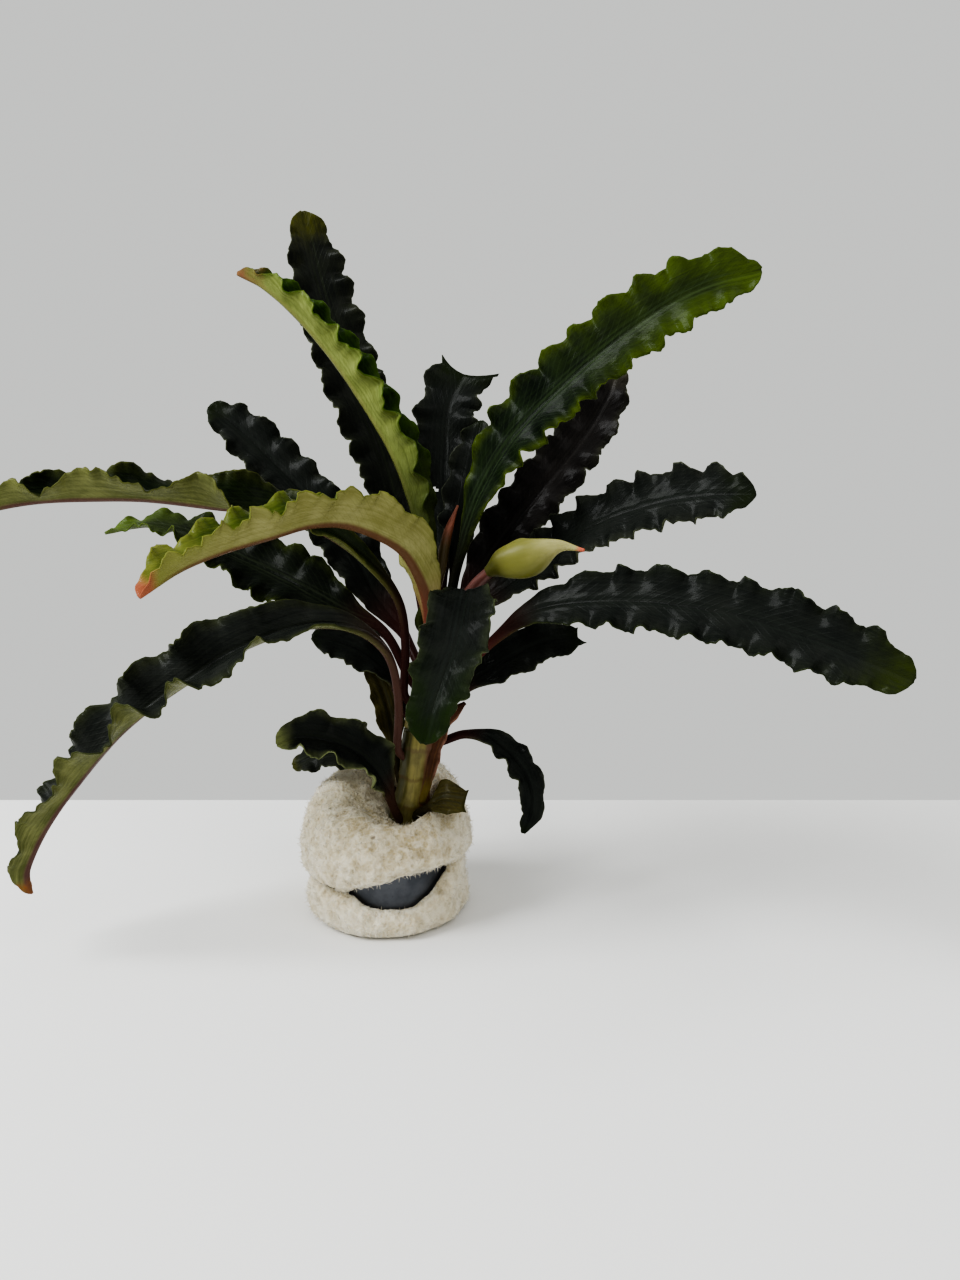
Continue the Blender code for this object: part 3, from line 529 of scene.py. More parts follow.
def foam_material():
    """Soft open-cell foam: cream tones, with painted shade in the warm hollows between the clumps, painted
    highlights on the raised clumps and painted shade in the fine dark pores.
    """
    made, graph, shader = new_material("foam_cells")
    place = graph.add("ShaderNodeTexCoord").outputs["Object"]
    raised = graph.add("ShaderNodeAttribute", attribute_name="raised").outputs["Fac"]
    broad = graph.noise(place, 150.0, 4.0, 0.6)
    middle = graph.noise(place, 640.0, 4.0, 0.65)
    pores = graph.cells(place, 1900.0)
    specks = graph.noise(place, 230.0, 2.0)
    away = graph.add("ShaderNodeVectorMath", {0: place, 1: tuple(v * MM for v in WARM_PLACE)},
                     operation="DISTANCE").outputs["Value"]
    away = graph.math("ADD", away, graph.math("MULTIPLY", graph.math("SUBTRACT", broad, 0.5), 20.0 * MM))
    skin = graph.mix(graph.rise(broad, 0.38, 0.66), (0.62, 0.57, 0.44), (0.53, 0.465, 0.32))
    # darker and more yellow-brown near WARM_PLACE, fading out by about 14 mm
    skin = graph.mix(graph.rise(away, 4.0 * MM, 14.0 * MM, 0.85, 0.0), skin, (0.39, 0.32, 0.175))
    # painted shade: the low places between the clumps are darker and warmer
    skin = graph.mix(graph.rise(raised, 0.5, 0.0, 0.0, 0.4), skin, (0.36, 0.29, 0.17))
    # painted highlight: the raised clumps are paler
    skin = graph.mix(graph.rise(raised, 0.55, 1.0, 0.0, 0.4), skin, (0.74, 0.7, 0.59))
    skin = graph.mix(graph.rise(middle, 0.45, 0.75, 0.0, 0.3), skin, (0.42, 0.36, 0.24))
    # painted shade and highlight: paler on the rims between the fine pores, so the pores themselves stay dark
    skin = graph.mix(graph.rise(pores, 0.25, 0.75, 0.0, 0.2), skin, (0.76, 0.72, 0.61))
    skin = graph.mix(graph.rise(specks, 0.74, 0.77, 0.0, 0.7), skin, (0.1, 0.07, 0.04))
    graph.feed(shader.inputs["Base Color"], skin)
    shader.inputs["Roughness"].default_value = 0.95
    shader.inputs["Specular IOR Level"].default_value = 0.2
    shader.inputs["Sheen Weight"].default_value = 0.2
    shader.inputs["Sheen Roughness"].default_value = 0.6
    shader.inputs["Subsurface Weight"].default_value = 0.45
    shader.inputs["Subsurface Radius"].default_value = (1.0, 0.85, 0.6)
    shader.inputs["Subsurface Scale"].default_value = 2.5 * MM
    height = graph.math("ADD", graph.math("MULTIPLY", pores, 0.7), graph.math("MULTIPLY", middle, 0.8))
    graph.feed(shader.inputs["Normal"], graph.bump(height, 0.75, 0.35 * MM))
    return made


def lead_material():
    """Soft lead sheet: dull blue-grey, brushed lightly along its length, with small darker spots."""
    made, graph, shader = new_material("lead_sheet")
    place = graph.add("ShaderNodeTexCoord").outputs["Object"]
    broad = graph.noise(place, 160.0, 4.0, 0.6)
    brushed = graph.noise(graph.scaled(place, (90.0, 90.0, 2600.0)), 1.0, 4.0, 0.6)
    spots = graph.cells(place, 1400.0)
    skin = graph.mix(graph.rise(broad, 0.35, 0.65), (0.07, 0.075, 0.086), (0.125, 0.132, 0.148))
    skin = graph.mix(graph.rise(spots, 0.0, 0.25, 0.3, 0.0), skin, (0.04, 0.042, 0.048))
    graph.feed(shader.inputs["Base Color"], skin)
    shader.inputs["Metallic"].default_value = 0.85
    graph.feed(shader.inputs["Roughness"], graph.rise(broad, 0.3, 0.7, 0.42, 0.58))
    graph.feed(shader.inputs["Normal"], graph.bump(brushed, 0.25, 0.08 * MM))
    return made


def add_piece(name, shape, finish, node):
    """A finished bmesh becomes a piece that stands for its solid."""
    if shape.calc_volume(signed=True) < 0:
        bmesh.ops.reverse_faces(shape, faces=shape.faces)
    mesh = bpy.data.meshes.new(name)
    shape.to_mesh(mesh)
    shape.free()
    mesh.shade_smooth()
    return stand_for(name, mesh, finish, node)


def stand_for(name, mesh, finish, node):
    piece = bpy.data.objects.new(name, mesh)
    bpy.context.scene.collection.objects.link(piece)
    mesh.materials.clear()
    mesh.materials.append(finish)
    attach(piece, "root")
    if node:
        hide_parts(node)
    return piece


def smoothstep(low, high, value):
    """0 below low, 1 above high and a soft rise between them."""
    share = np.clip((value - low) / (high - low), 0.0, 1.0)
    return share * share * (3.0 - 2.0 * share)


def blend(values, share):
    """The value at a share of the way through a short list of evenly spread ones."""
    place = share * (len(values) - 1)
    index = min(int(place), len(values) - 2)
    rest = place - index
    return values[index] * (1.0 - rest) + values[index + 1] * rest


def soft_blend(values, share):
    """As blend, with a smooth curve through the values."""
    place = share * (len(values) - 1)
    index = min(int(place), len(values) - 2)
    t = place - index
    before, first = values[max(index - 1, 0)], values[index]
    second, after = values[index + 1], values[min(index + 2, len(values) - 1)]
    slope_first, slope_second = (second - before) / 2, (after - first) / 2
    return (first * (2 * t**3 - 3 * t**2 + 1) + second * (3 * t**2 - 2 * t**3)
            + slope_first * (t**3 - 2 * t**2 + t) + slope_second * (t**3 - t**2))


def dense_curve(points, per_span=16):
    """Many points on a smooth curve through the given ones, with each one's knot number."""
    spots = [Vector(p) for p in points]
    last = len(spots) - 1
    knots = [0.0]
    for first, second in zip(spots, spots[1:]):
        knots.append(knots[-1] + (second - first).length)
    slopes = []
    for i in range(last + 1):
        low, high = max(i - 1, 0), min(i + 1, last)
        slopes.append((spots[high] - spots[low]) / (knots[high] - knots[low]))
    dense = []
    for i in range(last):
        span = knots[i + 1] - knots[i]
        for k in range(per_span):
            t = k / per_span
            place = spots[i] * (2 * t**3 - 3 * t**2 + 1) + spots[i + 1] * (3 * t**2 - 2 * t**3)
            place += (slopes[i] * (t**3 - 2 * t**2 + t) + slopes[i + 1] * (t**3 - t**2)) * span
            dense.append((place, (i + t) / last))
    dense.append((spots[last], 1.0))
    return dense


def stations(points, step):
    """Evenly spaced places on the curve: point, direction, share of the length, knot share."""
    dense = dense_curve(points)
    reach = [0.0]
    for (first, _), (second, _) in zip(dense, dense[1:]):
        reach.append(reach[-1] + (second - first).length)
    total = reach[-1]
    count = max(round(total / step), 4)
    found = []
    index = 0
    for n in range(count + 1):
        want = total * n / count
        while index < len(reach) - 2 and reach[index + 1] < want:
            index += 1
        part = (want - reach[index]) / (reach[index + 1] - reach[index])
        place = dense[index][0].lerp(dense[index + 1][0], part)
        knot = dense[index][1] * (1 - part) + dense[index + 1][1] * part
        found.append((place, n / count, knot))
    result = []
    for n, (place, share, knot) in enumerate(found):
        before = found[max(n - 1, 0)][0]
        after = found[min(n + 1, count)][0]
        result.append((place, (after - before).normalized(), share, knot))
    return result, total


def stem_axis(height):
    """The middle of the stem at a height."""
    heights = [p[2] for p in STEM_PATH]
    x = np.interp(height, heights, [p[0] for p in STEM_PATH])
    y = np.interp(height, heights, [p[1] for p in STEM_PATH])
    return Vector((x, y, min(height, heights[-1])))


def half_width(leaf, share):
    """From the midrib to the margin, along the blade, without the scallops."""
    widen = smoothstep(leaf.stalk * 0.7, leaf.stalk + 0.3, share)
    full = PETIOLE_HALF + (leaf.width / 2 - PETIOLE_HALF) * widen
    beyond = max(share - TAPER_START, 0.0) / (1.0 - TAPER_START)
    return max(full * math.sqrt(1.0 - beyond ** leaf.blunt), full * leaf.cut, TIP_HALF)


def crimp(distance, seed):
    """An uneven fine wave, from -1 to 1, along a margin."""
    turn = 2.0 * math.pi * distance / RIPPLE_LENGTH
    uneven = 0.45 * math.sin(turn + seed) + 0.3 * math.sin(0.61 * turn + 2.3 * seed)
    return uneven + 0.25 * math.sin(1.73 * turn + 1.1 * seed)


def margin_wave(leaf, distance, side):
    """How far on one margin's wave is, and how far it curls there. Both vary unevenly."""
    length, swing = leaf.wave
    waves = distance / length + leaf.phase + 0.35 * side
    drift = 0.1 * math.sin(2.3 * waves + 5 * side) + 0.06 * math.sin(4.1 * waves + 9 * leaf.phase)
    strength = 0.8 + 0.2 * math.sin(1.7 * waves + 2 * side + 7 * leaf.phase)
    return 2.0 * math.pi * (waves + drift), swing * strength


def half_blade(leaf, share, total, side, seed):
    """One half of a section: distance from the midrib and rise, from the rib to the margin."""
    blade = smoothstep(leaf.stalk, leaf.stalk + BLADE_RISE, share)
    turn, swing = margin_wave(leaf, share * total, side)
    frill = 1.0 + TIP_FRILL * smoothstep(0.55, 1.0, share)
    curl = math.radians(swing) * blade * math.sin(turn)
    width = half_width(leaf, share) * (1.0 + SCALLOP * frill * blade * math.sin(turn + 0.8))
    width *= 1.0 + TEETH * frill * blade * crimp(share * total * 1.7, seed + side)
    fold = math.radians(leaf.fold) * smoothstep(0.0, leaf.stalk + 0.2, share)
    ripple = math.radians(RIPPLE) * frill * blade * crimp(share * total, seed + 2.0 * side)
    middles = (np.arange(HALF_PARTS) + 0.5) / HALF_PARTS
    angle = fold * smoothstep(-0.1, 0.14, middles) + curl * middles + ripple * middles ** 3
    away = np.concatenate(([0.0], np.cumsum(np.cos(angle)))) * width / HALF_PARTS
    rise = np.concatenate(([0.0], np.cumsum(np.sin(angle)))) * width / HALF_PARTS
    return away, rise, width


def leaf_frames(leaf):
    """Places along a leaf with their directions: from inside the stem to the tip."""
    places, total = stations(leaf.path, LEAF_STEP)
    start, end = Vector(leaf.path[0]), Vector(leaf.path[-1])
    outward = Vector((end.x - start.x, end.y - start.y, 0.0)).normalized()
    level = UP.cross(outward)
    root = stem_axis(start.z - 3.5)
    bend = start - places[0][1] * (start - root).length * 0.5
    parts = max(round((start - root).length / (LEAF_STEP * 1.5)), 4)
    before = []
    for n in range(parts):
        t = n / parts
        spot = root * (1 - t) ** 2 + bend * 2 * t * (1 - t) + start * t**2
        heading = ((bend - root) * (1 - t) + (start - bend) * t).normalized()
        before.append((spot, heading, 0.0, 0.0))
    if leaf.name == "dry_sheath":
        before = []
    frames = []
    for place, along, share, _ in before + places:
        across = (level - along * level.dot(along)).normalized()
        across = Matrix.Rotation(math.radians(blend(leaf.roll, share)), 3, along) @ across
        frames.append((place, along, across, along.cross(across), share))
    return frames, total


def leaf_sheet(leaf, seed):
    """The middle surface of a leaf and what lies on it, as arrays of rows and columns."""
    frames, total = leaf_frames(leaf)
    columns = 2 * HALF_PARTS + 1
    spots = np.zeros((len(frames), columns, 3))
    reach = np.zeros((len(frames), columns))
    shares = np.array([share for *_, share in frames])
    side_share = np.abs(np.linspace(-1.0, 1.0, columns))
    for row, (place, along, across, normal, share) in enumerate(frames):
        middle = np.array(place)
        for side in (1, -1):
            away, rise, width = half_blade(leaf, share, total, side, seed)
            bite = leaf.horns[0 if side > 0 else 1] * smoothstep(BITE_START, 1.0, share)
            run_on = bite * np.linspace(0.0, 1.0, HALF_PARTS + 1) ** 2
            half = (middle + np.outer(away * side, across) + np.outer(rise, normal)
                    + np.outer(run_on, along))
            index = HALF_PARTS + side * np.arange(HALF_PARTS + 1)
            spots[row, index] = half
            reach[row, index] = side * width * np.linspace(0.0, 1.0, HALF_PARTS + 1)
    return spots, reach, shares, side_share, total


def leaf_offsets(leaf, reach, shares, side_share):
    """How far the upper and lower skins stand from the middle surface."""
    apart = np.abs(reach)
    taper = 1.0 - 0.6 * smoothstep(0.5, 1.0, shares)[:, None]
    stalk = 1.0 - smoothstep(leaf.stalk, leaf.stalk + 0.2, shares)[:, None]
    blade = 0.5 * (BLADE_THICK + (MARGIN_THICK - BLADE_THICK) * side_share ** 1.5)[None, :]
    blade = blade * (0.75 + 0.25 * taper)
    rib = RIB_UNDER * np.exp(-(apart / RIB_WIDTH) ** 2) * taper
    groove = GROOVE * taper * (np.exp(-((apart - 0.7) / 0.35) ** 2) - np.exp(-(apart / 0.28) ** 2))
    quilt = QUILT * np.sin(2 * np.pi * (shares[:, None] * 60.0 - 1.4 * apart) / QUILT_LENGTH)
    quilt = quilt * (side_share * (1.0 - side_share) * 4.0)[None, :] * (1.0 - stalk)
    round_stalk = PETIOLE_DEPTH * np.sqrt(1.0 - (0.97 * side_share) ** 2)[None, :]
    upper = (blade + groove + quilt) * (1.0 - stalk) + round_stalk * stalk
    lower = (blade + rib - quilt * 0.6) * (1.0 - stalk) + round_stalk * stalk
    return upper, lower


def sheet_normals(spots):
    """The direction that the upper side faces, at every point of a sheet."""
    down = np.gradient(spots, axis=0)
    over = np.gradient(spots, axis=1)
    normals = np.cross(down, over)
    return normals / np.maximum(np.linalg.norm(normals, axis=2, keepdims=True), 1e-9)


def kept_cells(leaf, reach, shares, total):
    """Which cells of the sheet are there, without those in its holes."""
    rows, columns = reach.shape
    keep = np.ones((rows - 1, columns - 1), bool)
    for share, place, radius in leaf.holes:
        along = (shares - share)[:, None] * total
        across = reach - place * leaf.width / 2
        near = along ** 2 + across ** 2 < radius ** 2
        keep &= ~(near[:-1, :-1] | near[1:, 1:])
    return keep


def closed_skin(keep, rows, columns):
    """Quads of the upper skin, the lower skin and the walls that join them round every rim."""
    def top(i, j):
        return i * columns + j

    def low(i, j):
        return rows * columns + i * columns + j

    quads = []
    filled = np.pad(keep, 1)
    for i in range(rows - 1):
        for j in range(columns - 1):
            if not keep[i, j]:
                continue
            quads.append((top(i, j), top(i, j + 1), top(i + 1, j + 1), top(i + 1, j)))
            quads.append((low(i, j), low(i + 1, j), low(i + 1, j + 1), low(i, j + 1)))
            rims = (
                (filled[i, j + 1], (i, j), (i, j + 1)),
                (filled[i + 2, j + 1], (i + 1, j + 1), (i + 1, j)),
                (filled[i + 1, j], (i + 1, j), (i, j)),
                (filled[i + 1, j + 2], (i, j + 1), (i + 1, j + 1)),
            )
            for there, first, second in rims:
                if not there:
                    quads.append((top(*second), top(*first), low(*first), low(*second)))
    return quads


def write_attribute(mesh, name, kind, values):
    """Store one value for each point of a mesh."""
    layer = mesh.attributes.new(name, kind, "POINT")
    field = "vector" if kind == "FLOAT_VECTOR" else "value"
    layer.data.foreach_set(field, np.asarray(values, np.float32).ravel())


def make_leaf(leaf, seed):
    """One leaf as a closed skin with a real thickness."""
    spots, reach, shares, side_share, total = leaf_sheet(leaf, seed)
    upper, lower = leaf_offsets(leaf, reach, shares, side_share)
    normals = sheet_normals(spots)
    rows, columns = reach.shape
    skin = np.concatenate([
        (spots + normals * upper[..., None]).reshape(-1, 3),
        (spots - normals * lower[..., None]).reshape(-1, 3),
    ]) * MM
    quads = closed_skin(kept_cells(leaf, reach, shares, total), rows, columns)
    mesh = bpy.data.meshes.new(leaf.name)
    mesh.from_pydata(skin.tolist(), [], quads)
    along = np.broadcast_to(shares[:, None], reach.shape)
    signed = np.broadcast_to(np.linspace(-1.0, 1.0, columns)[None, :], reach.shape)
    flat = np.zeros(reach.shape)
    millimetres = np.stack([along * total, reach, flat + 7.0 * seed], axis=2).reshape(-1, 3)
    portions = np.stack([along, signed, flat], axis=2).reshape(-1, 3)
    write_attribute(mesh, "blade_mm", "FLOAT_VECTOR", np.concatenate([millimetres, millimetres]))
    write_attribute(mesh, "blade_share", "FLOAT_VECTOR", np.concatenate([portions, portions]))
    write_attribute(mesh, "under", "FLOAT", np.concatenate([np.zeros(reach.size), np.ones(reach.size)]))
    shape = bmesh.new()
    shape.from_mesh(mesh)
    bpy.data.meshes.remove(mesh)
    loose = [v for v in shape.verts if not v.link_faces]
    bmesh.ops.delete(shape, geom=loose, context="VERTS")
    look = LOOKS[leaf.look]
    finish = bpy.data.materials.get(leaf.look + "_leaf") or leaf_material(leaf.look + "_leaf", look)
    return add_piece(leaf.name + "_skin", shape, finish, leaf.name)


def rod_rings(path, radii, sides, step, depth=1.0, lump=None):
    """Rings round a curve, with the place along and round it for every point."""
    places, total = stations(path, step)
    spots, marks, shares = [], [], []
    for place, along, share, knot in places:
        across = UP.cross(along)
        if across.length < 0.2:
            across = Vector((1.0, 0.0, 0.0))
        across = (across - along * across.dot(along)).normalized()
        normal = along.cross(across)
        radius = soft_blend(radii, knot)
        ring = []
        for i in range(sides):
            turn = 2 * math.pi * i / sides
            swell = radius * (1.0 + (lump(share * total, turn, share) if lump else 0.0))
            offset = across * depth * math.cos(turn) + normal * math.sin(turn)
            ring.append(place + offset * swell)
            marks.append((share * total, radius * math.cos(turn), radius * math.sin(turn)))
            shares.append(share)
        spots.append(ring)
    return spots, marks, shares


def make_rod(name, node, path, radii, sides, step, finish, depth=1.0, lump=None):
    """A rod of plant flesh along a curve, closed at both ends."""
    rings, marks, shares = rod_rings(path, radii, sides, step, depth, lump)
    points = [tuple(p * MM) for ring in rings for p in ring]
    faces = []
    for r in range(len(rings) - 1):
        for i in range(sides):
            j = (i + 1) % sides
            faces.append((r * sides + i, r * sides + j, (r + 1) * sides + j, (r + 1) * sides + i))
    faces.append(tuple(reversed(range(sides))))
    last = (len(rings) - 1) * sides
    faces.append(tuple(range(last, last + sides)))
    mesh = bpy.data.meshes.new(name)
    mesh.from_pydata(points, [], faces)
    write_attribute(mesh, "rod_mm", "FLOAT_VECTOR", marks)
    write_attribute(mesh, "rod_share", "FLOAT", shares)
    shape = bmesh.new()
    shape.from_mesh(mesh)
    bpy.data.meshes.remove(mesh)
    return add_piece(name, shape, finish, node)


def stem_lumps(distance, turn, share):
    """Leaf scars ring the stem, and soft ridges run down from them."""
    scar = max(math.sin(2 * math.pi * distance / 5.2 + 0.8 * math.sin(turn)), 0.0) ** 6
    ridge = math.sin(3 * turn + 0.12 * distance)
    return 0.05 * scar + 0.035 * ridge + 0.015 * math.sin(7 * turn + 0.5 * distance)


def bud_lumps(distance, turn, share):
    """The wrapped edge of the bud's outer leaf runs round it as a low seam."""
    seam = math.exp(-((math.sin(0.5 * (turn - 2.2 * share - 0.6))) / 0.07) ** 2)
    return 0.05 * seam * math.sin(math.pi * share) + 0.015 * math.sin(5 * turn + 4 * share)


def plug_heights(turn):
    """The slit's lower and upper lip and the crest, as heights at one direction from -Y."""
    front = math.cos(turn)
    right = math.sin(turn)
    off = (math.degrees(turn) - EYE_MIDDLE + 180.0) % 360.0 - 180.0
    middle = SLIT_MIDDLE + 0.5 * max(front, 0.0)
    middle += 3.2 * smoothstep(-EYE_SPREAD * 0.5, EYE_SPREAD * 1.4, off) * smoothstep(-130.0, -80.0, -abs(off))
    open_share = max(1.0 - (off / EYE_SPREAD) ** 2, 0.0)
    half = SLIT_HALF + (EYE_HALF - SLIT_HALF) * open_share
    dip = DIP_DEPTH * max(math.cos(turn - math.radians(DIP_DIRECTION)), 0.0) ** 2
    crest = CREST - 3.0 * front + 0.6 * right - dip
    return middle - 1.12 * half, middle + 0.88 * half, crest


def plug_profile(turn):
    """Points up the plug's outside and down into the hole: radius, height, share of the way to
    the hole's own centre."""
    low, high, crest = plug_heights(turn)
    return (
        (PLUG_BASE, 0.0, 0.0),
        (PLUG_BASE + 1.3, 0.6, 0.0),
        (PLUG_LOWER, 2.0, 0.0),
        (PLUG_LOWER - 0.2, max(low - 1.5, 3.0), 0.0),
        (LIP_RADIUS, low, 0.0),
        (GROOVE_OUTER, GROOVE_LOW + 0.4, 0.0),
        (GROOVE_OUTER - 0.2, GROOVE_LOW, 0.0),
        (GROOVE_INNER, GROOVE_LOW, 0.0),
        (GROOVE_INNER, GROOVE_HIGH, 0.0),
        (GROOVE_OUTER - 0.2, GROOVE_HIGH, 0.0),
        (GROOVE_OUTER, GROOVE_HIGH - 0.2, 0.0),
        (LIP_RADIUS, high, 0.0),
        (PLUG_UPPER - 0.5, high + 1.3, 0.0),
        (PLUG_UPPER, 0.55 * high + 7.0, 0.0),
        (PLUG_UPPER - 0.1, 0.5 * crest + 4.5, 0.0),
        (PLUG_UPPER - 1.4, crest - 2.6, 0.0),
        (PLUG_UPPER - 3.8, crest - 0.5, 0.0),
        (PLUG_UPPER - 6.2, crest, 0.3),
        (PLUG_UPPER - 8.2, crest - 1.4, 0.75),
        (HOLE_RADIUS + 1.0, 0.4 * crest + 9.5, 0.97),
        (HOLE_RADIUS, 16.6, 1.0),
        (HOLE_RADIUS, HOLE_FLOOR, 1.0),
    )


def rounded_profile(turn):
    """The plug's profile with many rows and soft corners."""
    knots = np.array(plug_profile(turn))
    padded = np.vstack([knots[0], knots, knots[-1]])
    rows = []
    for k in range(len(knots) - 1):
        a, b, c, d = padded[k:k + 4]
        for n in range(PLUG_FINE):
            t = n / PLUG_FINE
            slope_b, slope_c = (c - a) * 0.32, (d - b) * 0.32
            rows.append(b * (2 * t**3 - 3 * t**2 + 1) + c * (3 * t**2 - 2 * t**3)
                        + slope_b * (t**3 - 2 * t**2 + t) + slope_c * (t**3 - t**2))
    rows.append(knots[-1])
    return rows


def plug_form():
    """The plug as a fine mesh, before its pores."""
    shape = bmesh.new()
    columns = []
    for i in range(PLUG_SIDES):
        turn = 2 * math.pi * i / PLUG_SIDES
        column = []
        for radius, height, share in rounded_profile(turn):
            x = HOLE_CENTRE[0] * share + radius * math.sin(turn)
            y = HOLE_CENTRE[1] * share - radius * math.cos(turn)
            column.append(shape.verts.new(Vector((x, y, height)) * MM))
        columns.append(column)
    bottom = shape.verts.new((0.0, 0.0, 0.0))
    floor = shape.verts.new(Vector((*HOLE_CENTRE, HOLE_FLOOR)) * MM)
    for i in range(PLUG_SIDES):
        first = columns[i]
        second = columns[(i + 1) % PLUG_SIDES]
        shape.faces.new((bottom, second[0], first[0]))
        shape.faces.new((floor, first[-1], second[-1]))
        for k in range(len(first) - 1):
            shape.faces.new((first[k], second[k], second[k + 1], first[k + 1]))
    if shape.calc_volume(signed=True) < 0:
        bmesh.ops.reverse_faces(shape, faces=shape.faces)
    mesh = bpy.data.meshes.new("plug_form")
    shape.to_mesh(mesh)
    shape.free()
    mesh.shade_smooth()
    return mesh


def node_tree(name, inputs):
    """An empty Geometry Nodes tree with a mesh in and out and named number inputs."""
    tree = bpy.data.node_groups.new(name, "GeometryNodeTree")
    tree.interface.new_socket("Geometry", in_out="INPUT", socket_type="NodeSocketGeometry")
    for label, value in inputs.items():
        kind = "NodeSocketInt" if isinstance(value, int) else "NodeSocketFloat"
        socket = tree.interface.new_socket(label, in_out="INPUT", socket_type=kind)
        socket.default_value = value
    tree.interface.new_socket("Geometry", in_out="OUTPUT", socket_type="NodeSocketGeometry")
    graph = Graph(tree)
    return tree, graph, graph.add("NodeGroupInput"), graph.add("NodeGroupOutput")


def run_tree(tree, mesh, values):
    """The plain mesh that a tree makes from another mesh."""
    carrier = bpy.data.objects.new(tree.name, mesh)
    bpy.context.scene.collection.objects.link(carrier)
    modifier = carrier.modifiers.new(tree.name, "NODES")
    modifier.node_group = tree
    for item in tree.interface.items_tree:
        if item.in_out == "INPUT" and item.name in values:
            modifier[item.identifier] = values[item.name]
    graph = bpy.context.evaluated_depsgraph_get()
    made = bpy.data.meshes.new_from_object(carrier.evaluated_get(graph), depsgraph=graph)
    carrier.modifiers.remove(modifier)
    bpy.data.objects.remove(carrier, do_unlink=True)
    return made


def foam_tree(finish):
    """Lumps, clumps and pores pushed into the plug's surface, less at its flat underside."""
    tree, graph, given, result = node_tree("foam_surface", {
        "Lump size": 0.004, "Lump depth": 0.0004, "Clump size": 0.0016, "Clump depth": 0.0004,
        "Pore size": 0.0009, "Pore depth": 0.0002, "Seed": 3.0,
    })
    place = graph.add("GeometryNodeInputPosition").outputs[0]
    normal = graph.add("GeometryNodeInputNormal").outputs[0]

    def wave(size):
        return graph.add("ShaderNodeTexNoise", {
            "Vector": place, "W": given.outputs["Seed"], "Detail": 3.0,
            "Scale": graph.math("DIVIDE", 1.0, given.outputs[size]),
        }, noise_dimensions="4D").outputs["Fac"]

    pores = graph.add("ShaderNodeTexVoronoi", {
        "Vector": place, "W": given.outputs["Seed"],
        "Scale": graph.math("DIVIDE", 1.0, given.outputs["Pore size"]),
    }, voronoi_dimensions="4D").outputs["Distance"]
    clumps = wave("Clump size")
    heave = graph.math("MULTIPLY", graph.math("SUBTRACT", wave("Lump size"), 0.5),
                       given.outputs["Lump depth"])
    clump = graph.math("MULTIPLY", graph.math("SUBTRACT", clumps, 0.5), given.outputs["Clump depth"])
    dent = graph.math("MULTIPLY", graph.math("SUBTRACT", pores, 0.6), given.outputs["Pore depth"])
    height = graph.add("ShaderNodeSeparateXYZ", {0: place}).outputs[2]
    free = graph.rise(height, 0.1 * MM, 1.6 * MM)
    push = graph.math("ADD", graph.math("MULTIPLY", graph.math("ADD", heave, clump), 2.0), dent)
    push = graph.math("MULTIPLY", push, free)
    offset = graph.add("ShaderNodeVectorMath", {0: normal, "Scale": push}, operation="SCALE").outputs[0]
    # how raised each point is, stored so that the foam's colour can paint shade in the low places and
    # highlights on the high ones
    raised = graph.math("ADD", graph.math("MULTIPLY", clumps, 0.75), graph.math("MULTIPLY", pores, 0.25))
    marked = graph.add("GeometryNodeStoreNamedAttribute", {
        "Geometry": given.outputs["Geometry"], "Name": "raised", "Value": graph.rise(raised, 0.3, 0.62),
    }, data_type="FLOAT", domain="POINT").outputs[0]
    moved = graph.add("GeometryNodeSetPosition", {"Geometry": marked, "Offset": offset}).outputs[0]
    whole = graph.add("GeometryNodeRealizeInstances", {"Geometry": moved}).outputs[0]
    painted = graph.add("GeometryNodeSetMaterial", {"Geometry": whole, "Material": finish}).outputs[0]
    graph.feed(result.inputs["Geometry"], painted)
    return tree


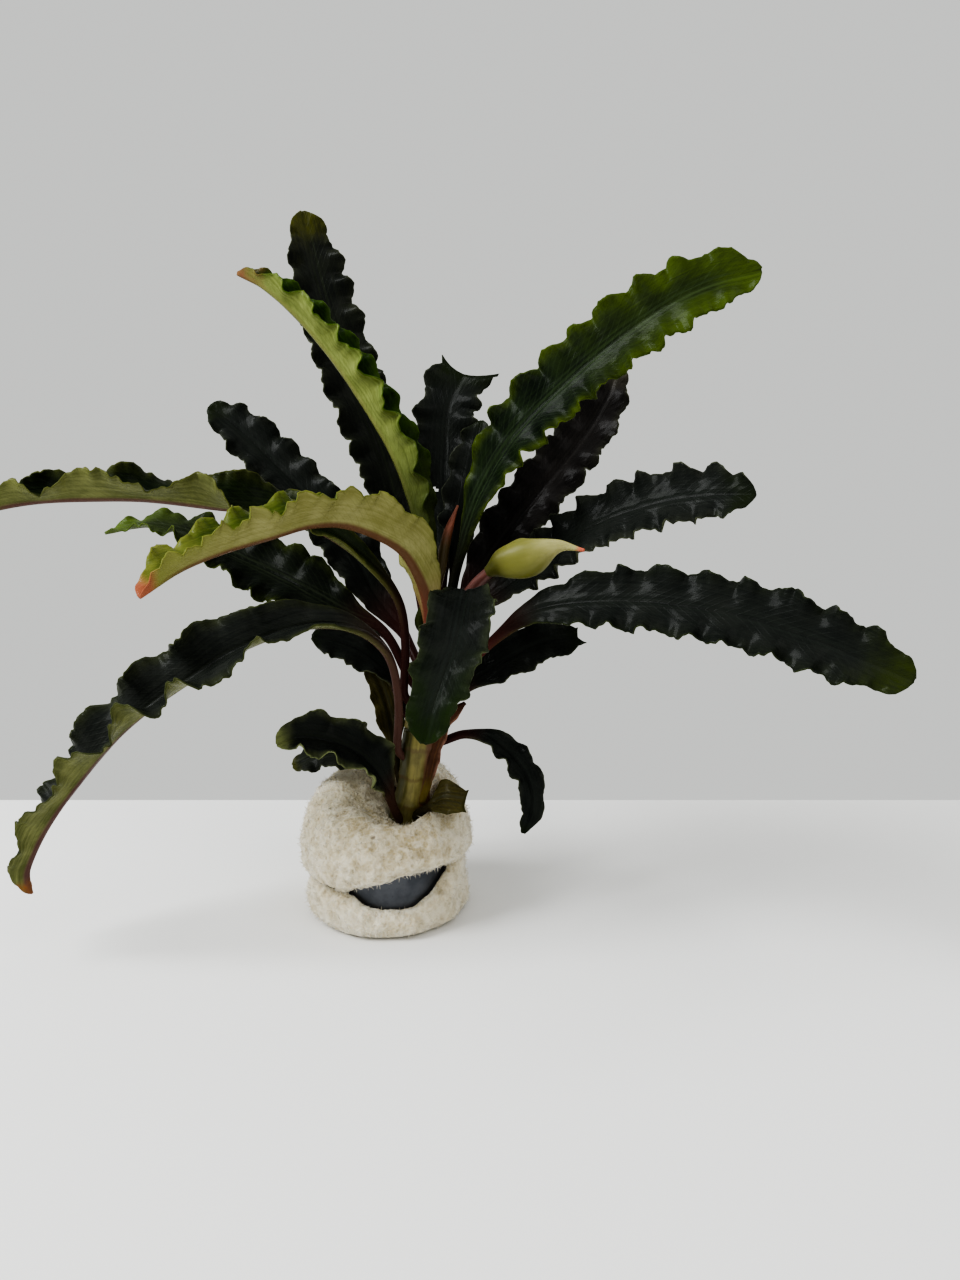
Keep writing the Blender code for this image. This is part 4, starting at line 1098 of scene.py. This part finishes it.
def fringe_tree(finish):
    """Short broken cell struts that stand out of the foam at all angles."""
    tree, graph, given, result = node_tree("foam_fringe", {
        "Struts per square metre": 1.0e6, "Length": 0.0008, "Thickness": 0.00012,
        "Lean": 1.2, "Seed": 5,
    })
    place = graph.add("GeometryNodeInputPosition").outputs[0]
    parts = graph.add("ShaderNodeSeparateXYZ", {0: place})
    reach = graph.add("ShaderNodeVectorMath", {
        0: graph.add("ShaderNodeCombineXYZ", {0: parts.outputs[0], 1: parts.outputs[1]}).outputs[0],
    }, operation="LENGTH").outputs["Value"]
    outside = graph.math("GREATER_THAN", reach, 12.2 * MM)
    above = graph.math("GREATER_THAN", parts.outputs[2], 15.0 * MM)
    raised = graph.math("GREATER_THAN", parts.outputs[2], 0.8 * MM)
    bare = graph.math("MULTIPLY", graph.math("MAXIMUM", outside, above), raised)
    points = graph.add("GeometryNodeDistributePointsOnFaces", {
        "Mesh": given.outputs["Geometry"], "Selection": bare,
        "Density": given.outputs["Struts per square metre"], "Seed": given.outputs["Seed"],
    }, distribute_method="RANDOM")
    strut = graph.add("GeometryNodeMeshCone", {
        "Vertices": 3, "Side Segments": 1, "Fill Segments": 1,
        "Radius Top": graph.math("MULTIPLY", given.outputs["Thickness"], 0.2),
        "Radius Bottom": given.outputs["Thickness"], "Depth": given.outputs["Length"],
    }, fill_type="NGON").outputs[0]
    lean = graph.add("FunctionNodeRandomValue", {
        "Min": (-1.0, -1.0, -1.0), "Max": (1.0, 1.0, 1.0), "Seed": given.outputs["Seed"],
    }, data_type="FLOAT_VECTOR").outputs["Value"]
    lean = graph.add("ShaderNodeVectorMath", {0: lean, "Scale": given.outputs["Lean"]},
                     operation="SCALE").outputs[0]
    size = graph.add("FunctionNodeRandomValue", {2: 0.35, 3: 1.25, "Seed": given.outputs["Seed"]},
                     data_type="FLOAT").outputs[1]
    planted = graph.add("GeometryNodeInstanceOnPoints", {
        "Points": points.outputs["Points"], "Instance": strut, "Rotation": points.outputs["Rotation"],
        "Scale": size,
    }).outputs[0]
    leant = graph.add("GeometryNodeRotateInstances", {"Instances": planted, "Rotation": lean}).outputs[0]
    whole = graph.add("GeometryNodeRealizeInstances", {"Geometry": leant}).outputs[0]
    painted = graph.add("GeometryNodeSetMaterial", {"Geometry": whole, "Material": finish}).outputs[0]
    graph.feed(result.inputs["Geometry"], painted)
    return tree


def make_plug():
    """The foam plug with its lumps and pores, and the struts that fray its surface."""
    finish = foam_material()
    mesh = run_tree(foam_tree(finish), plug_form(), {
        "Lump size": 6.0 * MM, "Lump depth": 1.1 * MM, "Clump size": 1.7 * MM, "Clump depth": 0.36 * MM,
        "Pore size": 0.9 * MM, "Pore depth": 0.3 * MM,
    })
    mesh.name = "foam_plug_soft"
    mesh.shade_smooth()
    fringe = run_tree(fringe_tree(finish), mesh.copy(), {
        "Struts per square metre": 2.6e6, "Length": 0.75 * MM, "Thickness": 0.07 * MM,
    })
    plug = stand_for("foam_plug_soft", mesh, finish, "foam_plug")
    stand_for("foam_fringe", fringe, finish, None)


def make_strip():
    """The lead strip, bent into a ring in the plug's groove, with soft worn edges."""
    half = (STRIP_OUTER - STRIP_INNER) / 2
    middle = (STRIP_OUTER + STRIP_INNER) / 2
    section = []
    for corner_x, corner_z, start in ((1, 1, 0), (-1, 1, 90), (-1, -1, 180), (1, -1, 270)):
        base = STRIP_HIGH if corner_z > 0 else STRIP_LOW
        for n in range(5):
            turn = math.radians(start + 90 * n / 4)
            section.append((middle + corner_x * (half - 0.2) + 0.2 * math.cos(turn),
                            base - corner_z * 0.2 + 0.2 * math.sin(turn)))
    fine = []
    for (r0, h0), (r1, h1) in zip(section, section[1:] + section[:1]):
        parts = max(round(math.hypot(r1 - r0, h1 - h0) / 0.6), 1)
        for n in range(parts):
            fine.append((r0 + (r1 - r0) * n / parts, h0 + (h1 - h0) * n / parts))
    shape = bmesh.new()
    rings = []
    for i in range(STRIP_SIDES):
        turn = 2 * math.pi * i / STRIP_SIDES
        dent = 0.06 * math.sin(5 * turn + 1.0) + 0.04 * math.sin(13 * turn)
        rings.append([
            shape.verts.new(Vector(((r + dent) * math.sin(turn), -(r + dent) * math.cos(turn), h)) * MM)
            for r, h in fine
        ])
    for i in range(STRIP_SIDES):
        first = rings[i]
        second = rings[(i + 1) % STRIP_SIDES]
        for k in range(len(fine)):
            j = (k + 1) % len(fine)
            shape.faces.new((first[k], first[j], second[j], second[k]))
    return add_piece("lead_strip_sheet", shape, lead_material(), "lead_strip")


def make_camera():
    """A camera where the photograph was taken from."""
    camera = bpy.data.objects.new("camera", bpy.data.cameras.new("camera"))
    camera.data.lens = CAMERA_LENS
    camera.data.sensor_width = 36.0
    camera.data.clip_start = 0.01
    camera.location = CAMERA_PLACE
    camera.rotation_euler = (math.radians(90.0 - CAMERA_DOWN), 0.0, 0.0)
    bpy.context.scene.collection.objects.link(camera)
    bpy.context.scene.camera = camera
    bpy.context.scene.view_settings.look = CAMERA_CONTRAST


def soft_light(name, place, target, size, power, tint=(1.0, 1.0, 1.0)):
    """A square softbox that faces a point."""
    lamp = bpy.data.lights.new(name, "AREA")
    lamp.shape = "SQUARE"
    lamp.size = size
    lamp.energy = power
    lamp.color = tint
    holder = bpy.data.objects.new(name, lamp)
    holder.location = place
    holder.rotation_euler = (Vector(target) - Vector(place)).to_track_quat("-Z", "Y").to_euler()
    bpy.context.scene.collection.objects.link(holder)


def make_stage():
    """A pale table top that ends behind the plant, an even grey surround and two soft lights."""
    made, graph, shader = new_material("floor_paint")
    shader.inputs["Base Color"].default_value = (0.8, 0.8, 0.79, 1.0)
    shader.inputs["Roughness"].default_value = 0.95
    shader.inputs["Specular IOR Level"].default_value = 0.1
    shape = bmesh.new()
    corners = ((-1.6, -1.6), (1.6, -1.6), (1.6, FLOOR_END), (-1.6, FLOOR_END))
    shape.faces.new([shape.verts.new((x, y, 0.0)) for x, y in corners])
    mesh = bpy.data.meshes.new("floor")
    shape.to_mesh(mesh)
    shape.free()
    mesh.materials.append(made)
    floor = bpy.data.objects.new("floor", mesh)
    bpy.context.scene.collection.objects.link(floor)
    world = bpy.data.worlds.new("surround")
    world.use_nodes = True
    world.node_tree.nodes["Background"].inputs["Color"].default_value = (0.99, 1.0, 0.98, 1.0)
    world.node_tree.nodes["Background"].inputs["Strength"].default_value = 0.58
    bpy.context.scene.world = world
    soft_light("window_light", (-0.62, -0.22, 0.68), (0.0, 0.0, 0.05), 0.5, 8.6, (0.98, 0.99, 1.0))
    soft_light("room_light", (0.4, -0.45, 0.75), (0.0, 0.0, 0.05), 0.6, 1.6, (1.0, 0.98, 0.96))


def main():
    make_camera()
    make_stage()
    make_plug()
    make_strip()
    make_rod("stem_flesh_rod", "stem", STEM_PATH, STEM_RADII, 72, 0.4, stem_material(),
             lump=stem_lumps)
    red_skin = flesh_material("red_flesh", ((0.065, 0.022, 0.017), (0.14, 0.045, 0.034)),
                              (0.03, 0.02, 0.012), ((2.0, 6.0),), 0.4)
    make_rod("flower_stalk_rod", "flower_stalk", STALK_PATH, STALK_RADII, 32, 0.3,
             red_skin)
    make_rod("flower_bud_rod", "flower_bud", BUD_PATH, BUD_RADII, 96, 0.2, bud_material(),
             depth=BUD_DEPTH, lump=bud_lumps)
    shoot_skin = flesh_material("shoot_flesh", ((0.26, 0.08, 0.045), (0.4, 0.14, 0.085)),
                                (0.085, 0.06, 0.02), ((14.0, 19.5),), 0.4)
    make_rod("new_shoot_rod", "new_shoot", SHOOT_PATH, SHOOT_RADII, 32, 0.3, shoot_skin)
    for seed, leaf in enumerate(LEAVES):
        make_leaf(leaf, float(seed))


main()
